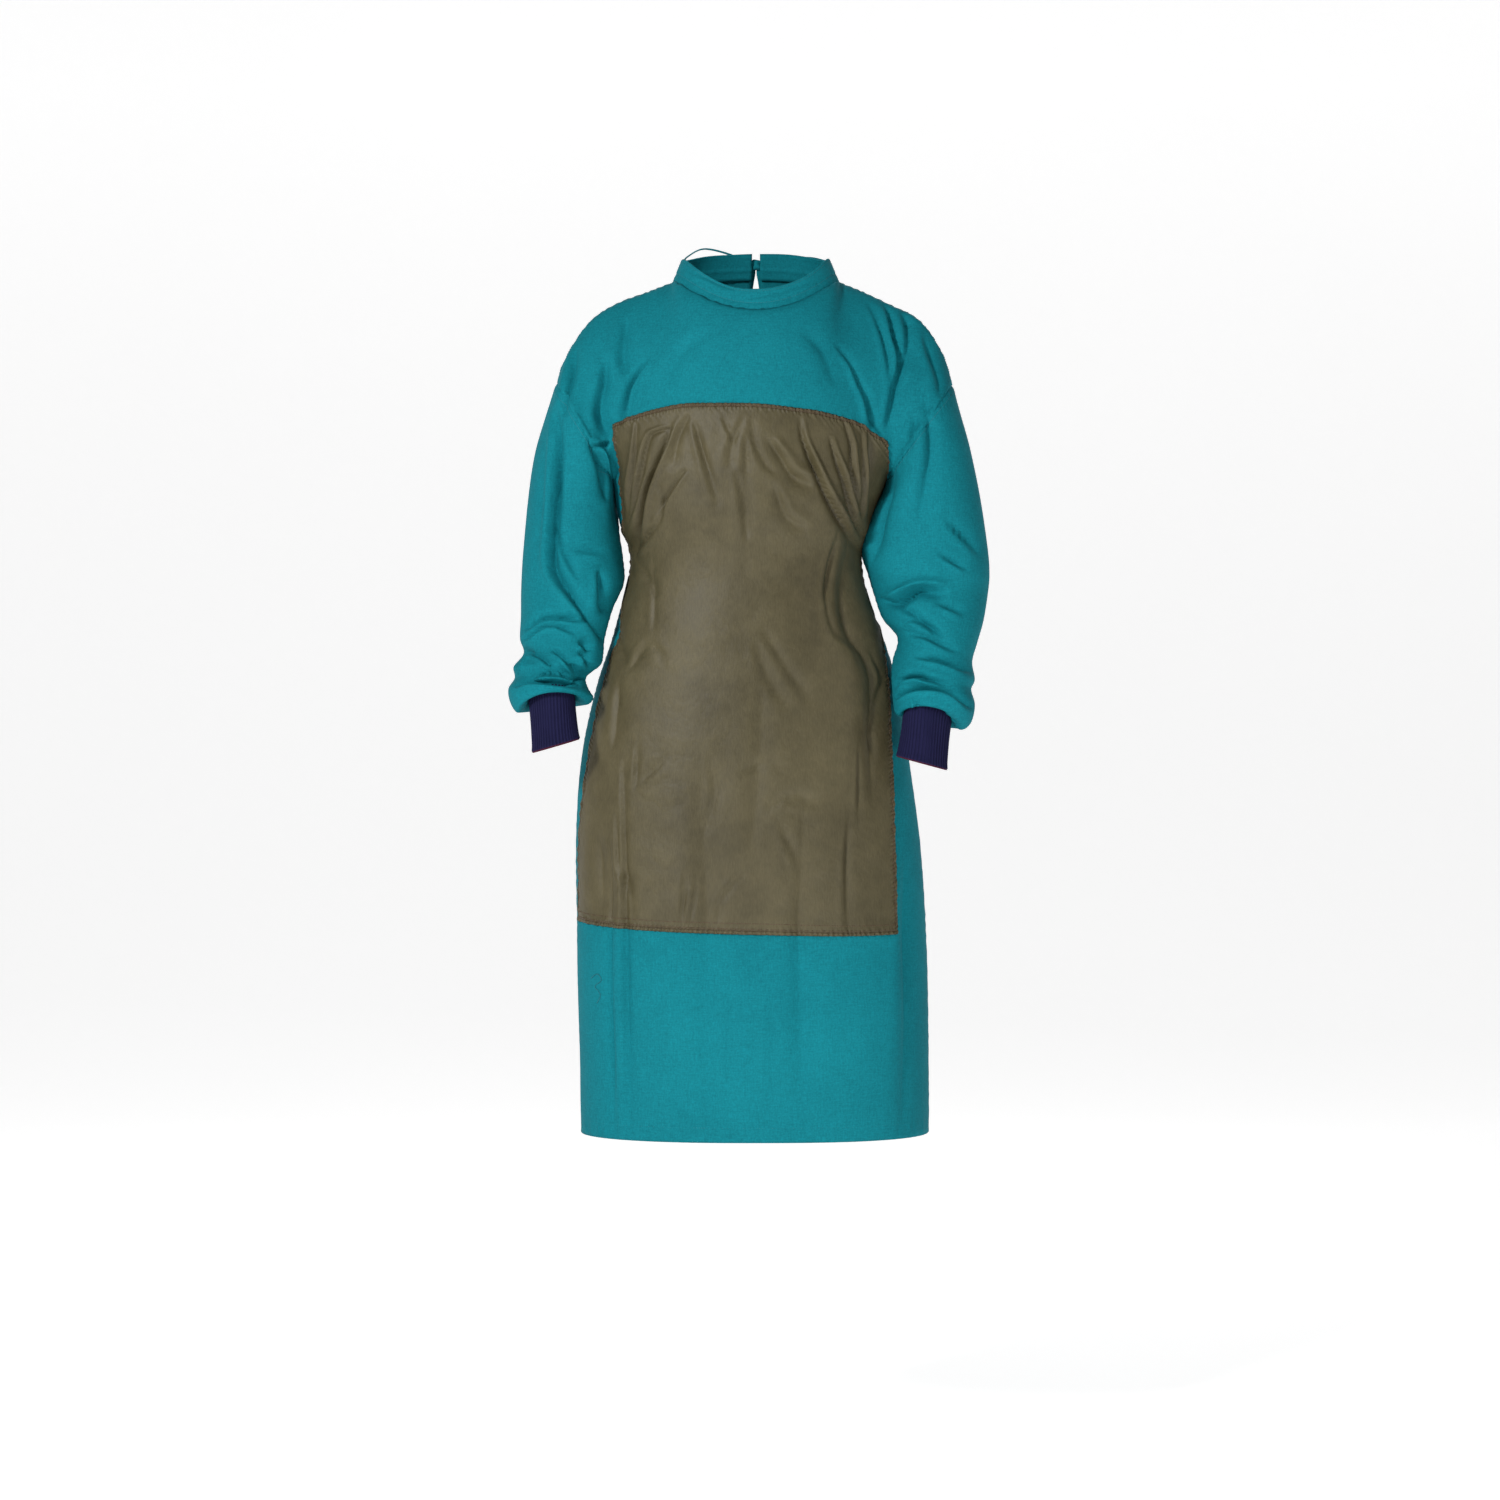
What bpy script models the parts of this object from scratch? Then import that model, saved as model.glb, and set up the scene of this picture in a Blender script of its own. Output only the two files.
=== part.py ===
"""Surgical gown in its worn, hollow form. Metres, +Z up, the front faces -Y, viewer's right is +X.

The origin is the centre of the neck opening at the height of the collar seam.
"""
import math

import bmesh
import bpy
from mathutils import Vector

# Driving dimensions
WOVEN_WALL = 0.0016
PANEL_WALL = 0.0011
KNIT_WALL = 0.0022
TAPE_WALL = 0.0012
SEAM_GAP = 0.0003
HEM_Z = -1.061
UNDERARM_Z = -0.250
NECK_HALF_WIDTH = 0.1035
NECK_FRONT_Y = -0.085
NECK_BACK_Y = 0.072
NECK_FRONT_DROP = 0.045
NECK_BACK_RISE = 0.014
COLLAR_HEIGHT = 0.027
COLLAR_LEAN = 0.011
WAIST_Z = -0.339
WAIST_TAPE_WIDTH = 0.020
NECK_TAPE_WIDTH = 0.007
RIB_COUNT = 36
RIB_HEIGHT = 0.0008

# Columns: z, left side x, right side x, front y, back y, squareness of the ring
BODY_RINGS = (
    (-1.061, -0.2180, 0.2160, -0.152, 0.150, 2.40),
    (-0.908, -0.2205, 0.2150, -0.149, 0.144, 2.40),
    (-0.808, -0.2235, 0.2125, -0.146, 0.139, 2.35),
    (-0.695, -0.2250, 0.2040, -0.141, 0.132, 2.30),
    (-0.581, -0.2140, 0.1880, -0.134, 0.123, 2.25),
    (-0.503, -0.1965, 0.1760, -0.128, 0.116, 2.20),
    (-0.449, -0.1805, 0.1600, -0.123, 0.109, 2.20),
    (-0.408, -0.1690, 0.1440, -0.119, 0.102, 2.20),
    (-0.376, -0.1590, 0.1330, -0.117, 0.097, 2.20),
    (-0.339, -0.1550, 0.1300, -0.118, 0.095, 2.20),
    (-0.301, -0.1650, 0.1430, -0.123, 0.102, 2.20),
    (-0.250, -0.1710, 0.1620, -0.127, 0.112, 2.15),
)

# Columns: share of the shoulder from neck to armhole, left x, left z, right x, right z
SHOULDER_LINE = (
    (0.00, -0.1035, 0.000, 0.1035, 0.000),
    (0.22, -0.1370, -0.013, 0.1330, -0.012),
    (0.44, -0.1720, -0.026, 0.1690, -0.029),
    (0.62, -0.2030, -0.045, 0.2010, -0.045),
    (0.78, -0.2250, -0.072, 0.2225, -0.070),
    (0.90, -0.2410, -0.102, 0.2380, -0.101),
    (1.00, -0.2490, -0.1275, 0.2460, -0.1300),
)
NECK_SHARE = 0.40
ARMHOLE_DEPTH = 0.074

# Columns: outer x, outer z, inner x, inner z, centre y, half depth. One row for each sleeve section
LEFT_SLEEVE = (
    (-0.2490, -0.1275, -0.1710, -0.2500, 0.000, 0.0740),
    (-0.2620, -0.1680, -0.1770, -0.2680, 0.001, 0.0720),
    (-0.2760, -0.2170, -0.1790, -0.2880, 0.003, 0.0690),
    (-0.2855, -0.2760, -0.1740, -0.3150, 0.004, 0.0670),
    (-0.2910, -0.3350, -0.1665, -0.3450, 0.000, 0.0660),
    (-0.2930, -0.3850, -0.1640, -0.3770, -0.010, 0.0660),
    (-0.2930, -0.4200, -0.1780, -0.4110, -0.025, 0.0620),
    (-0.2935, -0.4480, -0.1870, -0.4470, -0.040, 0.0580),
    (-0.2885, -0.4660, -0.1880, -0.4650, -0.049, 0.0550),
    (-0.3000, -0.4830, -0.1910, -0.4810, -0.057, 0.0570),
    (-0.2980, -0.4970, -0.2080, -0.4960, -0.063, 0.0490),
    (-0.3050, -0.5110, -0.2080, -0.5090, -0.070, 0.0520),
    (-0.2980, -0.5260, -0.1990, -0.5230, -0.076, 0.0510),
    (-0.2870, -0.5380, -0.2090, -0.5320, -0.081, 0.0390),
    (-0.2800, -0.5400, -0.2220, -0.5350, -0.084, 0.0270),
)
RIGHT_SLEEVE = (
    (0.2460, -0.1300, 0.1620, -0.2500, 0.000, 0.0740),
    (0.2560, -0.1680, 0.1665, -0.2660, 0.001, 0.0720),
    (0.2680, -0.2120, 0.1620, -0.2850, 0.003, 0.0700),
    (0.2800, -0.2700, 0.1500, -0.3080, 0.004, 0.0700),
    (0.2895, -0.3350, 0.1400, -0.3400, 0.000, 0.0700),
    (0.2915, -0.3650, 0.1420, -0.3650, -0.006, 0.0690),
    (0.2900, -0.3870, 0.1470, -0.3900, -0.013, 0.0670),
    (0.2830, -0.4250, 0.1570, -0.4220, -0.030, 0.0620),
    (0.2740, -0.4540, 0.1750, -0.4470, -0.042, 0.0560),
    (0.2670, -0.4770, 0.1690, -0.4740, -0.052, 0.0540),
    (0.2690, -0.4990, 0.1670, -0.4950, -0.062, 0.0550),
    (0.2640, -0.5120, 0.1680, -0.5130, -0.069, 0.0510),
    (0.2680, -0.5310, 0.1690, -0.5290, -0.076, 0.0530),
    (0.2630, -0.5520, 0.1710, -0.5400, -0.083, 0.0470),
    (0.2520, -0.5600, 0.1760, -0.5440, -0.086, 0.0370),
    (0.2400, -0.5510, 0.1800, -0.5400, -0.087, 0.0280),
)

# Columns: outer x, outer z, inner x, inner z, centre y, half depth, at the cuff's top and bottom
LEFT_CUFF = (
    (-0.2800, -0.5400, -0.2220, -0.5350, -0.084, 0.0270),
    (-0.2735, -0.5900, -0.2155, -0.5730, -0.103, 0.0250),
)
RIGHT_CUFF = (
    (0.2400, -0.5510, 0.1800, -0.5400, -0.087, 0.0280),
    (0.2330, -0.6110, 0.1710, -0.5940, -0.106, 0.0260),
)

# Columns: height share from hem to top, panel's left edge, right edge, as shares of the front's half ring
PANEL_EDGES = (
    (0.00, -0.90, 0.66),
    (0.22, -0.90, 0.66),
    (0.45, -0.88, 0.74),
    (0.64, -0.86, 0.90),
    (0.72, -0.94, 0.95),
    (0.80, -0.93, 0.94),
    (1.00, -0.70, 0.70),
)
PANEL_BOTTOM_Z = -0.805
PANEL_TOP_SHARE = 0.36

# Rows of the grid between hem, panel bottom, underarm, panel top and shoulder, and its columns
ROWS_BELOW_PANEL = 4
ROWS_TO_WAIST = 13
ROWS_TO_UNDERARM = 3
ROWS_TO_PANEL_TOP = 2
ROWS_TO_SHOULDER = 5
COLUMNS_LEFT_OF_PANEL = 2
COLUMNS_ON_PANEL = 14
COLUMNS_RIGHT_OF_PANEL = 2
BACK_COLUMNS = 9
BACK_NECK_COLUMNS = 3
BACK_ROWS_TO_WAIST = 12
BACK_ROWS_TO_UNDERARM = 3
BACK_ROWS_TO_SHOULDER = 8
FRONT_NECK_COLUMNS = 8
LAP_COLUMNS = 4
COLLAR_ROWS = 2
SLEEVE_SIDES = 18
SLEEVE_ROWS = 25

# Columns: start x, start z, end x, end z, half width, depth (a trough is positive)
FRONT_FOLDS = (
    (-0.104, -0.190, -0.150, -0.335, 0.012, 0.011),
    (-0.083, -0.200, -0.128, -0.330, 0.011, -0.009),
    (0.055, -0.178, 0.122, -0.330, 0.010, 0.009),
    (0.078, -0.200, 0.114, -0.300, 0.010, -0.007),
    (0.100, -0.200, 0.126, -0.320, 0.009, 0.008),
    (-0.070, -0.175, -0.046, -0.280, 0.012, 0.005),
    (-0.025, -0.240, -0.012, -0.330, 0.012, 0.005),
    (-0.135, -0.110, -0.162, -0.160, 0.010, 0.007),
    (0.165, -0.040, 0.172, -0.155, 0.010, 0.011),
    (0.120, -0.105, 0.145, -0.190, 0.010, 0.006),
    (-0.165, -0.445, -0.155, -0.500, 0.016, 0.006),
    (0.125, -0.460, 0.128, -0.570, 0.016, 0.009),
    (-0.150, -0.680, -0.155, -1.055, 0.018, 0.006),
    (0.115, -0.660, 0.122, -1.055, 0.020, 0.006),
    (0.020, -0.700, 0.012, -1.055, 0.035, 0.004),
)
BACK_FOLDS = (
    (-0.060, -0.345, -0.090, -0.560, 0.014, 0.010),
    (0.062, -0.345, 0.095, -0.580, 0.014, 0.010),
    (-0.025, -0.345, -0.035, -0.640, 0.013, 0.009),
    (0.028, -0.345, 0.040, -0.600, 0.013, 0.009),
    (-0.105, -0.350, -0.150, -0.520, 0.012, 0.007),
    (0.098, -0.350, 0.140, -0.520, 0.012, 0.007),
    (-0.070, -0.325, -0.125, -0.200, 0.013, 0.008),
    (0.066, -0.325, 0.120, -0.190, 0.013, 0.008),
    (-0.120, -0.700, -0.130, -1.055, 0.022, 0.007),
    (0.125, -0.680, 0.132, -1.055, 0.022, 0.007),
)

# Columns: start along, start turn, end along, end turn, half width along, half width in turns, depth
SLEEVE_FOLDS = (
    (0.30, 0.22, 0.62, 0.30, 0.020, 0.035, 0.005),
    (0.46, 0.10, 0.50, 0.40, 0.014, 0.060, 0.006),
    (0.56, 0.34, 0.60, 0.12, 0.014, 0.060, 0.007),
    (0.40, 0.62, 0.46, 0.86, 0.016, 0.060, 0.006),
    (0.56, 0.60, 0.52, 0.88, 0.016, 0.060, 0.006),
    (0.66, 0.05, 0.68, 0.45, 0.012, 0.080, 0.005),
    (0.68, 0.55, 0.66, 0.95, 0.012, 0.080, 0.005),
)

COLOURS = {
    "teal": (0.010, 0.235, 0.275),
    "olive": (0.105, 0.092, 0.050),
    "navy": (0.014, 0.014, 0.050),
}


def smooth_row(table, value):
    """Read a table by its first column with a smooth curve through its rows."""
    rows = list(table)
    if value <= rows[0][0]:
        return rows[0][1:]
    if value >= rows[-1][0]:
        return rows[-1][1:]
    index = max(k for k in range(len(rows) - 1) if rows[k][0] <= value)
    low, high = rows[index], rows[index + 1]
    before = rows[max(index - 1, 0)]
    after = rows[min(index + 2, len(rows) - 1)]
    step = high[0] - low[0]
    share = (value - low[0]) / step
    result = []
    for column in range(1, len(low)):
        slope_low = (high[column] - before[column]) / (high[0] - before[0]) * step
        slope_high = (after[column] - low[column]) / (after[0] - low[0]) * step
        result.append(hermite(low[column], high[column], slope_low, slope_high, share))
    return result


def hermite(low, high, slope_low, slope_high, share):
    square, cube = share * share, share ** 3
    start = (2 * cube - 3 * square + 1) * low + (cube - 2 * square + share) * slope_low
    return start + (3 * square - 2 * cube) * high + (cube - square) * slope_high


def with_index(table):
    """Number the rows of a table from 0 to 1, so that it can be read by share."""
    last = len(table) - 1
    return [(k / last,) + tuple(row) for k, row in enumerate(table)]


def mix(start, end, share):
    return start + (end - start) * share


def fold_depth(x, z, folds):
    """Depth of all the folds at a place on a panel seen from the front or back."""
    depth = 0.0
    for start_x, start_z, end_x, end_z, half_width, deep in folds:
        run_x, run_z = end_x - start_x, end_z - start_z
        length_square = run_x * run_x + run_z * run_z
        share = ((x - start_x) * run_x + (z - start_z) * run_z) / length_square
        inside = min(max(share, 0.0), 1.0)
        off_x = x - start_x - run_x * inside
        off_z = z - start_z - run_z * inside
        distance_square = off_x * off_x + off_z * off_z
        depth += deep * math.exp(-distance_square / (half_width * half_width))
    return depth


def ring_place(z, share, side):
    """A place on the body's ring. share runs -1 to 1 from the left seam; side is -1 front, 1 back."""
    left, right, front, back, square = smooth_row(BODY_RINGS, z)
    angle = share * math.pi / 2
    power = 2.0 / square
    half = right if share > 0 else -left
    reach = math.copysign(abs(math.sin(angle)) ** power, share)
    depth = -front if side < 0 else back
    return Vector((half * reach, side * depth * math.cos(angle) ** power, z))


def shoulder_place(share, side):
    """A place on the neckline and shoulder seams, from one armhole's top to the other's."""
    size = abs(share)
    if size < NECK_SHARE:
        angle = share / NECK_SHARE * math.pi / 2
        lift = math.cos(angle) ** 2
        if side < 0:
            return Vector((NECK_HALF_WIDTH * math.sin(angle), NECK_FRONT_Y * math.cos(angle),
                           -NECK_FRONT_DROP * lift))
        return Vector((NECK_HALF_WIDTH * math.sin(angle), NECK_BACK_Y * math.cos(angle),
                       NECK_BACK_RISE * lift))
    out = (size - NECK_SHARE) / (1 - NECK_SHARE)
    left_x, left_z, right_x, right_z = smooth_row(SHOULDER_LINE, out)
    return Vector((right_x, 0, right_z)) if share > 0 else Vector((left_x, 0, left_z))


def armhole_place(up, share, side):
    """A place on the armhole's front or back edge, from the underarm to the shoulder."""
    sections = RIGHT_SLEEVE if share > 0 else LEFT_SLEEVE
    outer_x, outer_z, inner_x, inner_z, _, depth = sections[0]
    angle = up * math.pi
    along = (1 - math.cos(angle)) / 2
    return Vector((mix(inner_x, outer_x, along), side * depth * math.sin(angle),
                   mix(inner_z, outer_z, along)))


def yoke_place(up, share, side):
    """A place above the underarm: a patch between ring, armholes, shoulders and neckline."""
    low = ring_place(UNDERARM_Z, share, side)
    top = shoulder_place(share, side)
    round_over = 0.5 * up ** 2.2 + 0.5 * (1 - math.sqrt(max(0.0, 1 - up * up)))
    place = Vector((mix(low.x, top.x, up), mix(low.y, top.y, round_over), mix(low.z, top.z, up)))
    edge = math.copysign(1.0, share)
    edge_low = ring_place(UNDERARM_Z, edge, side)
    edge_top = shoulder_place(edge, side)
    plain = Vector((mix(edge_low.x, edge_top.x, up), 0, mix(edge_low.z, edge_top.z, up)))
    pull = armhole_place(up, edge, side) - plain
    weight = abs(share) ** 5
    place += pull * weight
    return place


def body_place(height, share, side):
    """height runs 0 to 1 from hem to underarm and 1 to 2 from underarm to shoulder."""
    if height <= 1:
        place = ring_place(mix(HEM_Z, UNDERARM_Z, height), share, side)
    else:
        place = yoke_place(height - 1, share, side)
    folds = FRONT_FOLDS if side < 0 else BACK_FOLDS
    fade = math.cos(min(abs(share), 1.0) * math.pi / 2) ** 0.4
    if height > 1:
        fade *= min(1.0, (2 - height) / 0.25)
    trough = fold_depth(place.x, place.z, folds) * fade
    place.y -= side * trough
    return place


def armhole_normal(share):
    """The direction square to the armhole's plane."""
    outer_x, outer_z, inner_x, inner_z, _, _ = (RIGHT_SLEEVE if share > 0 else LEFT_SLEEVE)[0]
    up = Vector((outer_x - inner_x, 0, outer_z - inner_z)).normalized()
    return Vector((up.z, 0, -up.x))


def grid_normals(rows, closed):
    """Unit normals of a grid of places, pointing to the side that columns x rows gives."""
    last_row, last_column = len(rows) - 1, len(rows[0]) - 1
    normals = []
    for j, row in enumerate(rows):
        line = []
        for i in range(len(row)):
            if closed:
                across = row[(i + 1) % len(row)] - row[i - 1]
            else:
                across = row[min(i + 1, last_column)] - row[max(i - 1, 0)]
            up = rows[min(j + 1, last_row)][i] - rows[max(j - 1, 0)][i]
            line.append(across.cross(up).normalized())
        normals.append(line)
    return normals


def flatten(normal, plane):
    """Turn a normal into a seam's plane, so that two walls meet there without crossing."""
    return (normal - plane * normal.dot(plane)).normalized()


def material(name, colour, roughness):
    made = bpy.data.materials.new(name)
    made.use_nodes = True
    shader = made.node_tree.nodes["Principled BSDF"]
    shader.inputs["Base Color"].default_value = (*colour, 1.0)
    shader.inputs["Roughness"].default_value = roughness
    shader.inputs["Metallic"].default_value = 0.0
    return made


def cloth_wall(name, outer, inner, closed, colour, roughness=0.8):
    """Make one closed wall between two grids of places, joined round their edges."""
    mesh = bpy.data.meshes.new(name)
    shape = bmesh.new()
    layers = []
    for grid in (outer, inner):
        layers.append([[shape.verts.new(place) for place in row] for row in grid])
    columns = len(outer[0])
    spans = columns if closed else columns - 1
    for layer in layers:
        for j in range(len(outer) - 1):
            for i in range(spans):
                k = (i + 1) % columns
                shape.faces.new((layer[j][i], layer[j][k], layer[j + 1][k], layer[j + 1][i]))
    out, back = layers
    for j in (0, len(outer) - 1):
        for i in range(spans):
            k = (i + 1) % columns
            shape.faces.new((out[j][i], out[j][k], back[j][k], back[j][i]))
    if not closed:
        for i in (0, columns - 1):
            for j in range(len(outer) - 1):
                shape.faces.new((out[j][i], out[j + 1][i], back[j + 1][i], back[j][i]))
    bmesh.ops.recalc_face_normals(shape, faces=shape.faces)
    if shape.calc_volume(signed=True) < 0:
        bmesh.ops.reverse_faces(shape, faces=shape.faces)
    shape.to_mesh(mesh)
    shape.free()
    piece = bpy.data.objects.new(name, mesh)
    bpy.context.scene.collection.objects.link(piece)
    mesh.materials.append(material(name, COLOURS[colour], roughness))
    mesh.shade_smooth()
    mesh.set_sharp_from_angle(angle=math.radians(50))
    return piece


def moved(rows, normals, distance):
    return [[place + normal * distance for place, normal in zip(row, line)]
            for row, line in zip(rows, normals)]


def seam_normals(rows, normals, edge_shares, heights):
    """Turn the normals at side seams, shoulders and armholes into the seams' planes."""
    forward = Vector((0, 1, 0))
    last = len(rows[0]) - 1
    for j, height in enumerate(heights):
        for i in (0, last):
            if abs(edge_shares[j][i]) < 1:
                continue
            if height <= 1:
                normals[j][i] = flatten(normals[j][i], forward)
            if height >= 1:
                normals[j][i] = flatten(normals[j][i], armhole_normal(edge_shares[j][i]))
    for i, share in enumerate(edge_shares[-1]):
        if abs(share) > NECK_SHARE - 0.01:
            normals[-1][i] = flatten(normals[-1][i], forward)
    return normals


def height_of(z):
    """The height share, 0 at the hem and 1 at the underarm, of a level."""
    return (z - HEM_Z) / (UNDERARM_Z - HEM_Z)


def front_heights():
    """Heights of the front's rows, with one row on each edge of the panel."""
    panel_bottom, waist = height_of(PANEL_BOTTOM_Z), height_of(WAIST_Z)
    heights = [panel_bottom * k / ROWS_BELOW_PANEL for k in range(ROWS_BELOW_PANEL)]
    heights += [mix(panel_bottom, waist, k / ROWS_TO_WAIST) for k in range(ROWS_TO_WAIST)]
    heights += [mix(waist, 1, k / ROWS_TO_UNDERARM) for k in range(ROWS_TO_UNDERARM)]
    heights += [1 + PANEL_TOP_SHARE * k / ROWS_TO_PANEL_TOP for k in range(ROWS_TO_PANEL_TOP)]
    heights += [mix(1 + PANEL_TOP_SHARE, 2, k / ROWS_TO_SHOULDER) for k in range(ROWS_TO_SHOULDER + 1)]
    return heights


def front_shares(height):
    """Column shares of a row of the front, with columns on the panel's two side edges."""
    panel_left, panel_right = smooth_row(PANEL_EDGES, height / 2)
    shares = [mix(-1, panel_left, k / COLUMNS_LEFT_OF_PANEL) for k in range(COLUMNS_LEFT_OF_PANEL)]
    shares += [mix(panel_left, panel_right, k / COLUMNS_ON_PANEL) for k in range(COLUMNS_ON_PANEL)]
    shares += [mix(panel_right, 1, k / COLUMNS_RIGHT_OF_PANEL) for k in range(COLUMNS_RIGHT_OF_PANEL + 1)]
    return shares


def make_front():
    heights = front_heights()
    shares = [front_shares(height) for height in heights]
    step = Vector((0, -SEAM_GAP / 2, 0))
    outer = [[body_place(height, share, -1) + step for share in line]
             for height, line in zip(heights, shares)]
    normals = seam_normals(outer, grid_normals(outer, False), shares, heights)
    cloth_wall("front", outer, moved(outer, normals, -WOVEN_WALL), False, "teal")
    return outer, normals


def make_panel(front, normals):
    """The water-proof panel lies on the front: it is the front's own places, moved out."""
    first_row = ROWS_BELOW_PANEL
    last_row = first_row + ROWS_TO_WAIST + ROWS_TO_UNDERARM + ROWS_TO_PANEL_TOP
    first_column = COLUMNS_LEFT_OF_PANEL
    last_column = first_column + COLUMNS_ON_PANEL
    rows = slice(first_row, last_row + 1)
    columns = slice(first_column, last_column + 1)
    places = [row[columns] for row in front[rows]]
    turned = [row[columns] for row in normals[rows]]
    under = moved(places, turned, SEAM_GAP)
    over = moved(places, turned, SEAM_GAP + PANEL_WALL)
    cloth_wall("front_panel", over, under, False, "olive", 0.5)


# Columns: height, how far the back's free edge passes the centre, in shares of the half ring
BACK_OVERLAP = (
    (0.00, 0.300),
    (0.60, 0.260),
    (1.00, 0.200),
    (1.45, 0.099),
    (1.75, -0.012),
    (2.00, -0.014),
)
LAP_START = 0.0990
UNDER_LAP = 0.0065
LAP_RAMP = 0.22
LAP_FADE = 0.25


def back_overlap(height):
    return smooth_row(BACK_OVERLAP, height)[0]


def back_shares(height, edge):
    """Column shares of a back half. Both halves have the same columns where they overlap."""
    lap = back_overlap(height)
    lap_start = max(lap, LAP_START)
    shares = [mix(edge, edge * lap_start, k / BACK_COLUMNS) for k in range(BACK_COLUMNS)]
    shares += [mix(edge * lap_start, -edge * lap, k / LAP_COLUMNS) for k in range(LAP_COLUMNS + 1)]
    return shares


def make_back(name, edge):
    """One half of the back. The left half lies over the right where they overlap."""
    waist = height_of(WAIST_Z)
    heights = [waist * k / BACK_ROWS_TO_WAIST for k in range(BACK_ROWS_TO_WAIST)]
    heights += [mix(waist, 1, k / BACK_ROWS_TO_UNDERARM) for k in range(BACK_ROWS_TO_UNDERARM)]
    heights += [1 + k / BACK_ROWS_TO_SHOULDER for k in range(BACK_ROWS_TO_SHOULDER + 1)]
    step = Vector((0, SEAM_GAP / 2, 0))
    outer, shares = [], []
    for height in heights:
        line = back_shares(height, edge)
        shares.append(line)
        row = []
        for share in line:
            place = body_place(height, share, 1) + step
            if edge > 0:
                near = min(max((back_overlap(height) + LAP_RAMP - share) / LAP_RAMP, 0.0), 1.0)
                top_fade = min(1.0, (2 - height) / LAP_FADE)
                place.y -= UNDER_LAP * near * near * (3 - 2 * near) * top_fade
            row.append(place)
        outer.append(row)
    normals = grid_normals(outer, False)
    if normals[10][BACK_COLUMNS // 2].y < 0:
        normals = [[-normal for normal in line] for line in normals]
    normals = seam_normals(outer, normals, shares, heights)
    cloth_wall(name, outer, moved(outer, normals, -WOVEN_WALL), False, "teal")


def sleeve_ring(section, sides, shift):
    outer_x, outer_z, inner_x, inner_z, centre_y, depth = section
    middle = Vector(((outer_x + inner_x) / 2, centre_y, (outer_z + inner_z) / 2))
    reach = Vector((outer_x - inner_x, 0, outer_z - inner_z)) / 2
    ring = []
    for k in range(sides):
        angle = 2 * math.pi * k / sides
        ring.append(middle + shift + reach * math.cos(angle)
                    + Vector((0, -depth, 0)) * math.sin(angle))
    return ring


def sleeve_fold(along, turn):
    depth = 0.0
    for along_a, turn_a, along_b, turn_b, wide_along, wide_turn, deep in SLEEVE_FOLDS:
        run_along, run_turn = (along_b - along_a) / wide_along, (turn_b - turn_a) / wide_turn
        off_along, off_turn = (along - along_a) / wide_along, (turn - turn_a) / wide_turn
        share = (off_along * run_along + off_turn * run_turn) / (run_along ** 2 + run_turn ** 2)
        share = min(max(share, 0.0), 1.0)
        gap = (off_along - run_along * share) ** 2 + (off_turn - run_turn * share) ** 2
        depth += deep * math.exp(-gap)
    return depth


def make_sleeve(name, sections, side):
    table = with_index(sections)
    plane = armhole_normal(side)
    away = plane if plane.x * side > 0 else -plane
    rings = []
    for j in range(SLEEVE_ROWS + 1):
        along = j / SLEEVE_ROWS
        shift = away * SEAM_GAP * (1 - along)
        rings.append(sleeve_ring(smooth_row(table, along), SLEEVE_SIDES, shift))
    normals = grid_normals(rings, True)
    middle = sum(rings[4], Vector()) / SLEEVE_SIDES
    if normals[4][0].dot(rings[4][0] - middle) < 0:
        normals = [[-normal for normal in line] for line in normals]
    for j in range(1, SLEEVE_ROWS):
        for k in range(SLEEVE_SIDES):
            trough = sleeve_fold(j / SLEEVE_ROWS, k / SLEEVE_SIDES)
            rings[j][k] = rings[j][k] - normals[j][k] * trough
    normals[0] = [flatten(normal, plane) for normal in normals[0]]
    down = (sum(rings[-1], Vector()) - sum(rings[-2], Vector())).normalized()
    normals[-1] = [flatten(normal, down) for normal in normals[-1]]
    cloth_wall(name, rings, moved(rings, normals, -WOVEN_WALL), True, "teal")


def make_cuff(name, sections):
    """A knitted tube with raised ribs over a plain inside."""
    sides = RIB_COUNT * 2
    top, bottom = sections
    down = Vector(((bottom[0] + bottom[2] - top[0] - top[2]) / 2, bottom[4] - top[4],
                   (bottom[1] + bottom[3] - top[1] - top[3]) / 2)).normalized()
    outer, inner = [], []
    for share in (0.0, 0.5, 1.0):
        section = [mix(a, b, share) for a, b in zip(top, bottom)]
        ring = sleeve_ring(section, sides, down * SEAM_GAP * 2)
        middle = sum(ring, Vector()) / sides
        out = [(place - middle).normalized() for place in ring]
        outer.append([place + way * (RIB_HEIGHT * (k % 2) - 0.001)
                      for k, (place, way) in enumerate(zip(ring, out))])
        inner.append([place - way * KNIT_WALL for place, way in zip(ring, out)])
    cloth_wall(name, outer, inner, True, "navy", 0.9)


def collar_place(angle, up):
    """A place on the collar. angle is 0 at the centre front and runs round to the back."""
    front = math.cos(angle)
    depth = -NECK_FRONT_Y if front > 0 else NECK_BACK_Y
    lift = -NECK_FRONT_DROP * front * front if front > 0 else NECK_BACK_RISE * front * front
    lean = 1 - up * COLLAR_LEAN / NECK_HALF_WIDTH
    return Vector((NECK_HALF_WIDTH * math.sin(angle) * lean, -depth * front * lean,
                   lift + SEAM_GAP + up * COLLAR_HEIGHT * (1 - 0.08 * front)))


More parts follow.
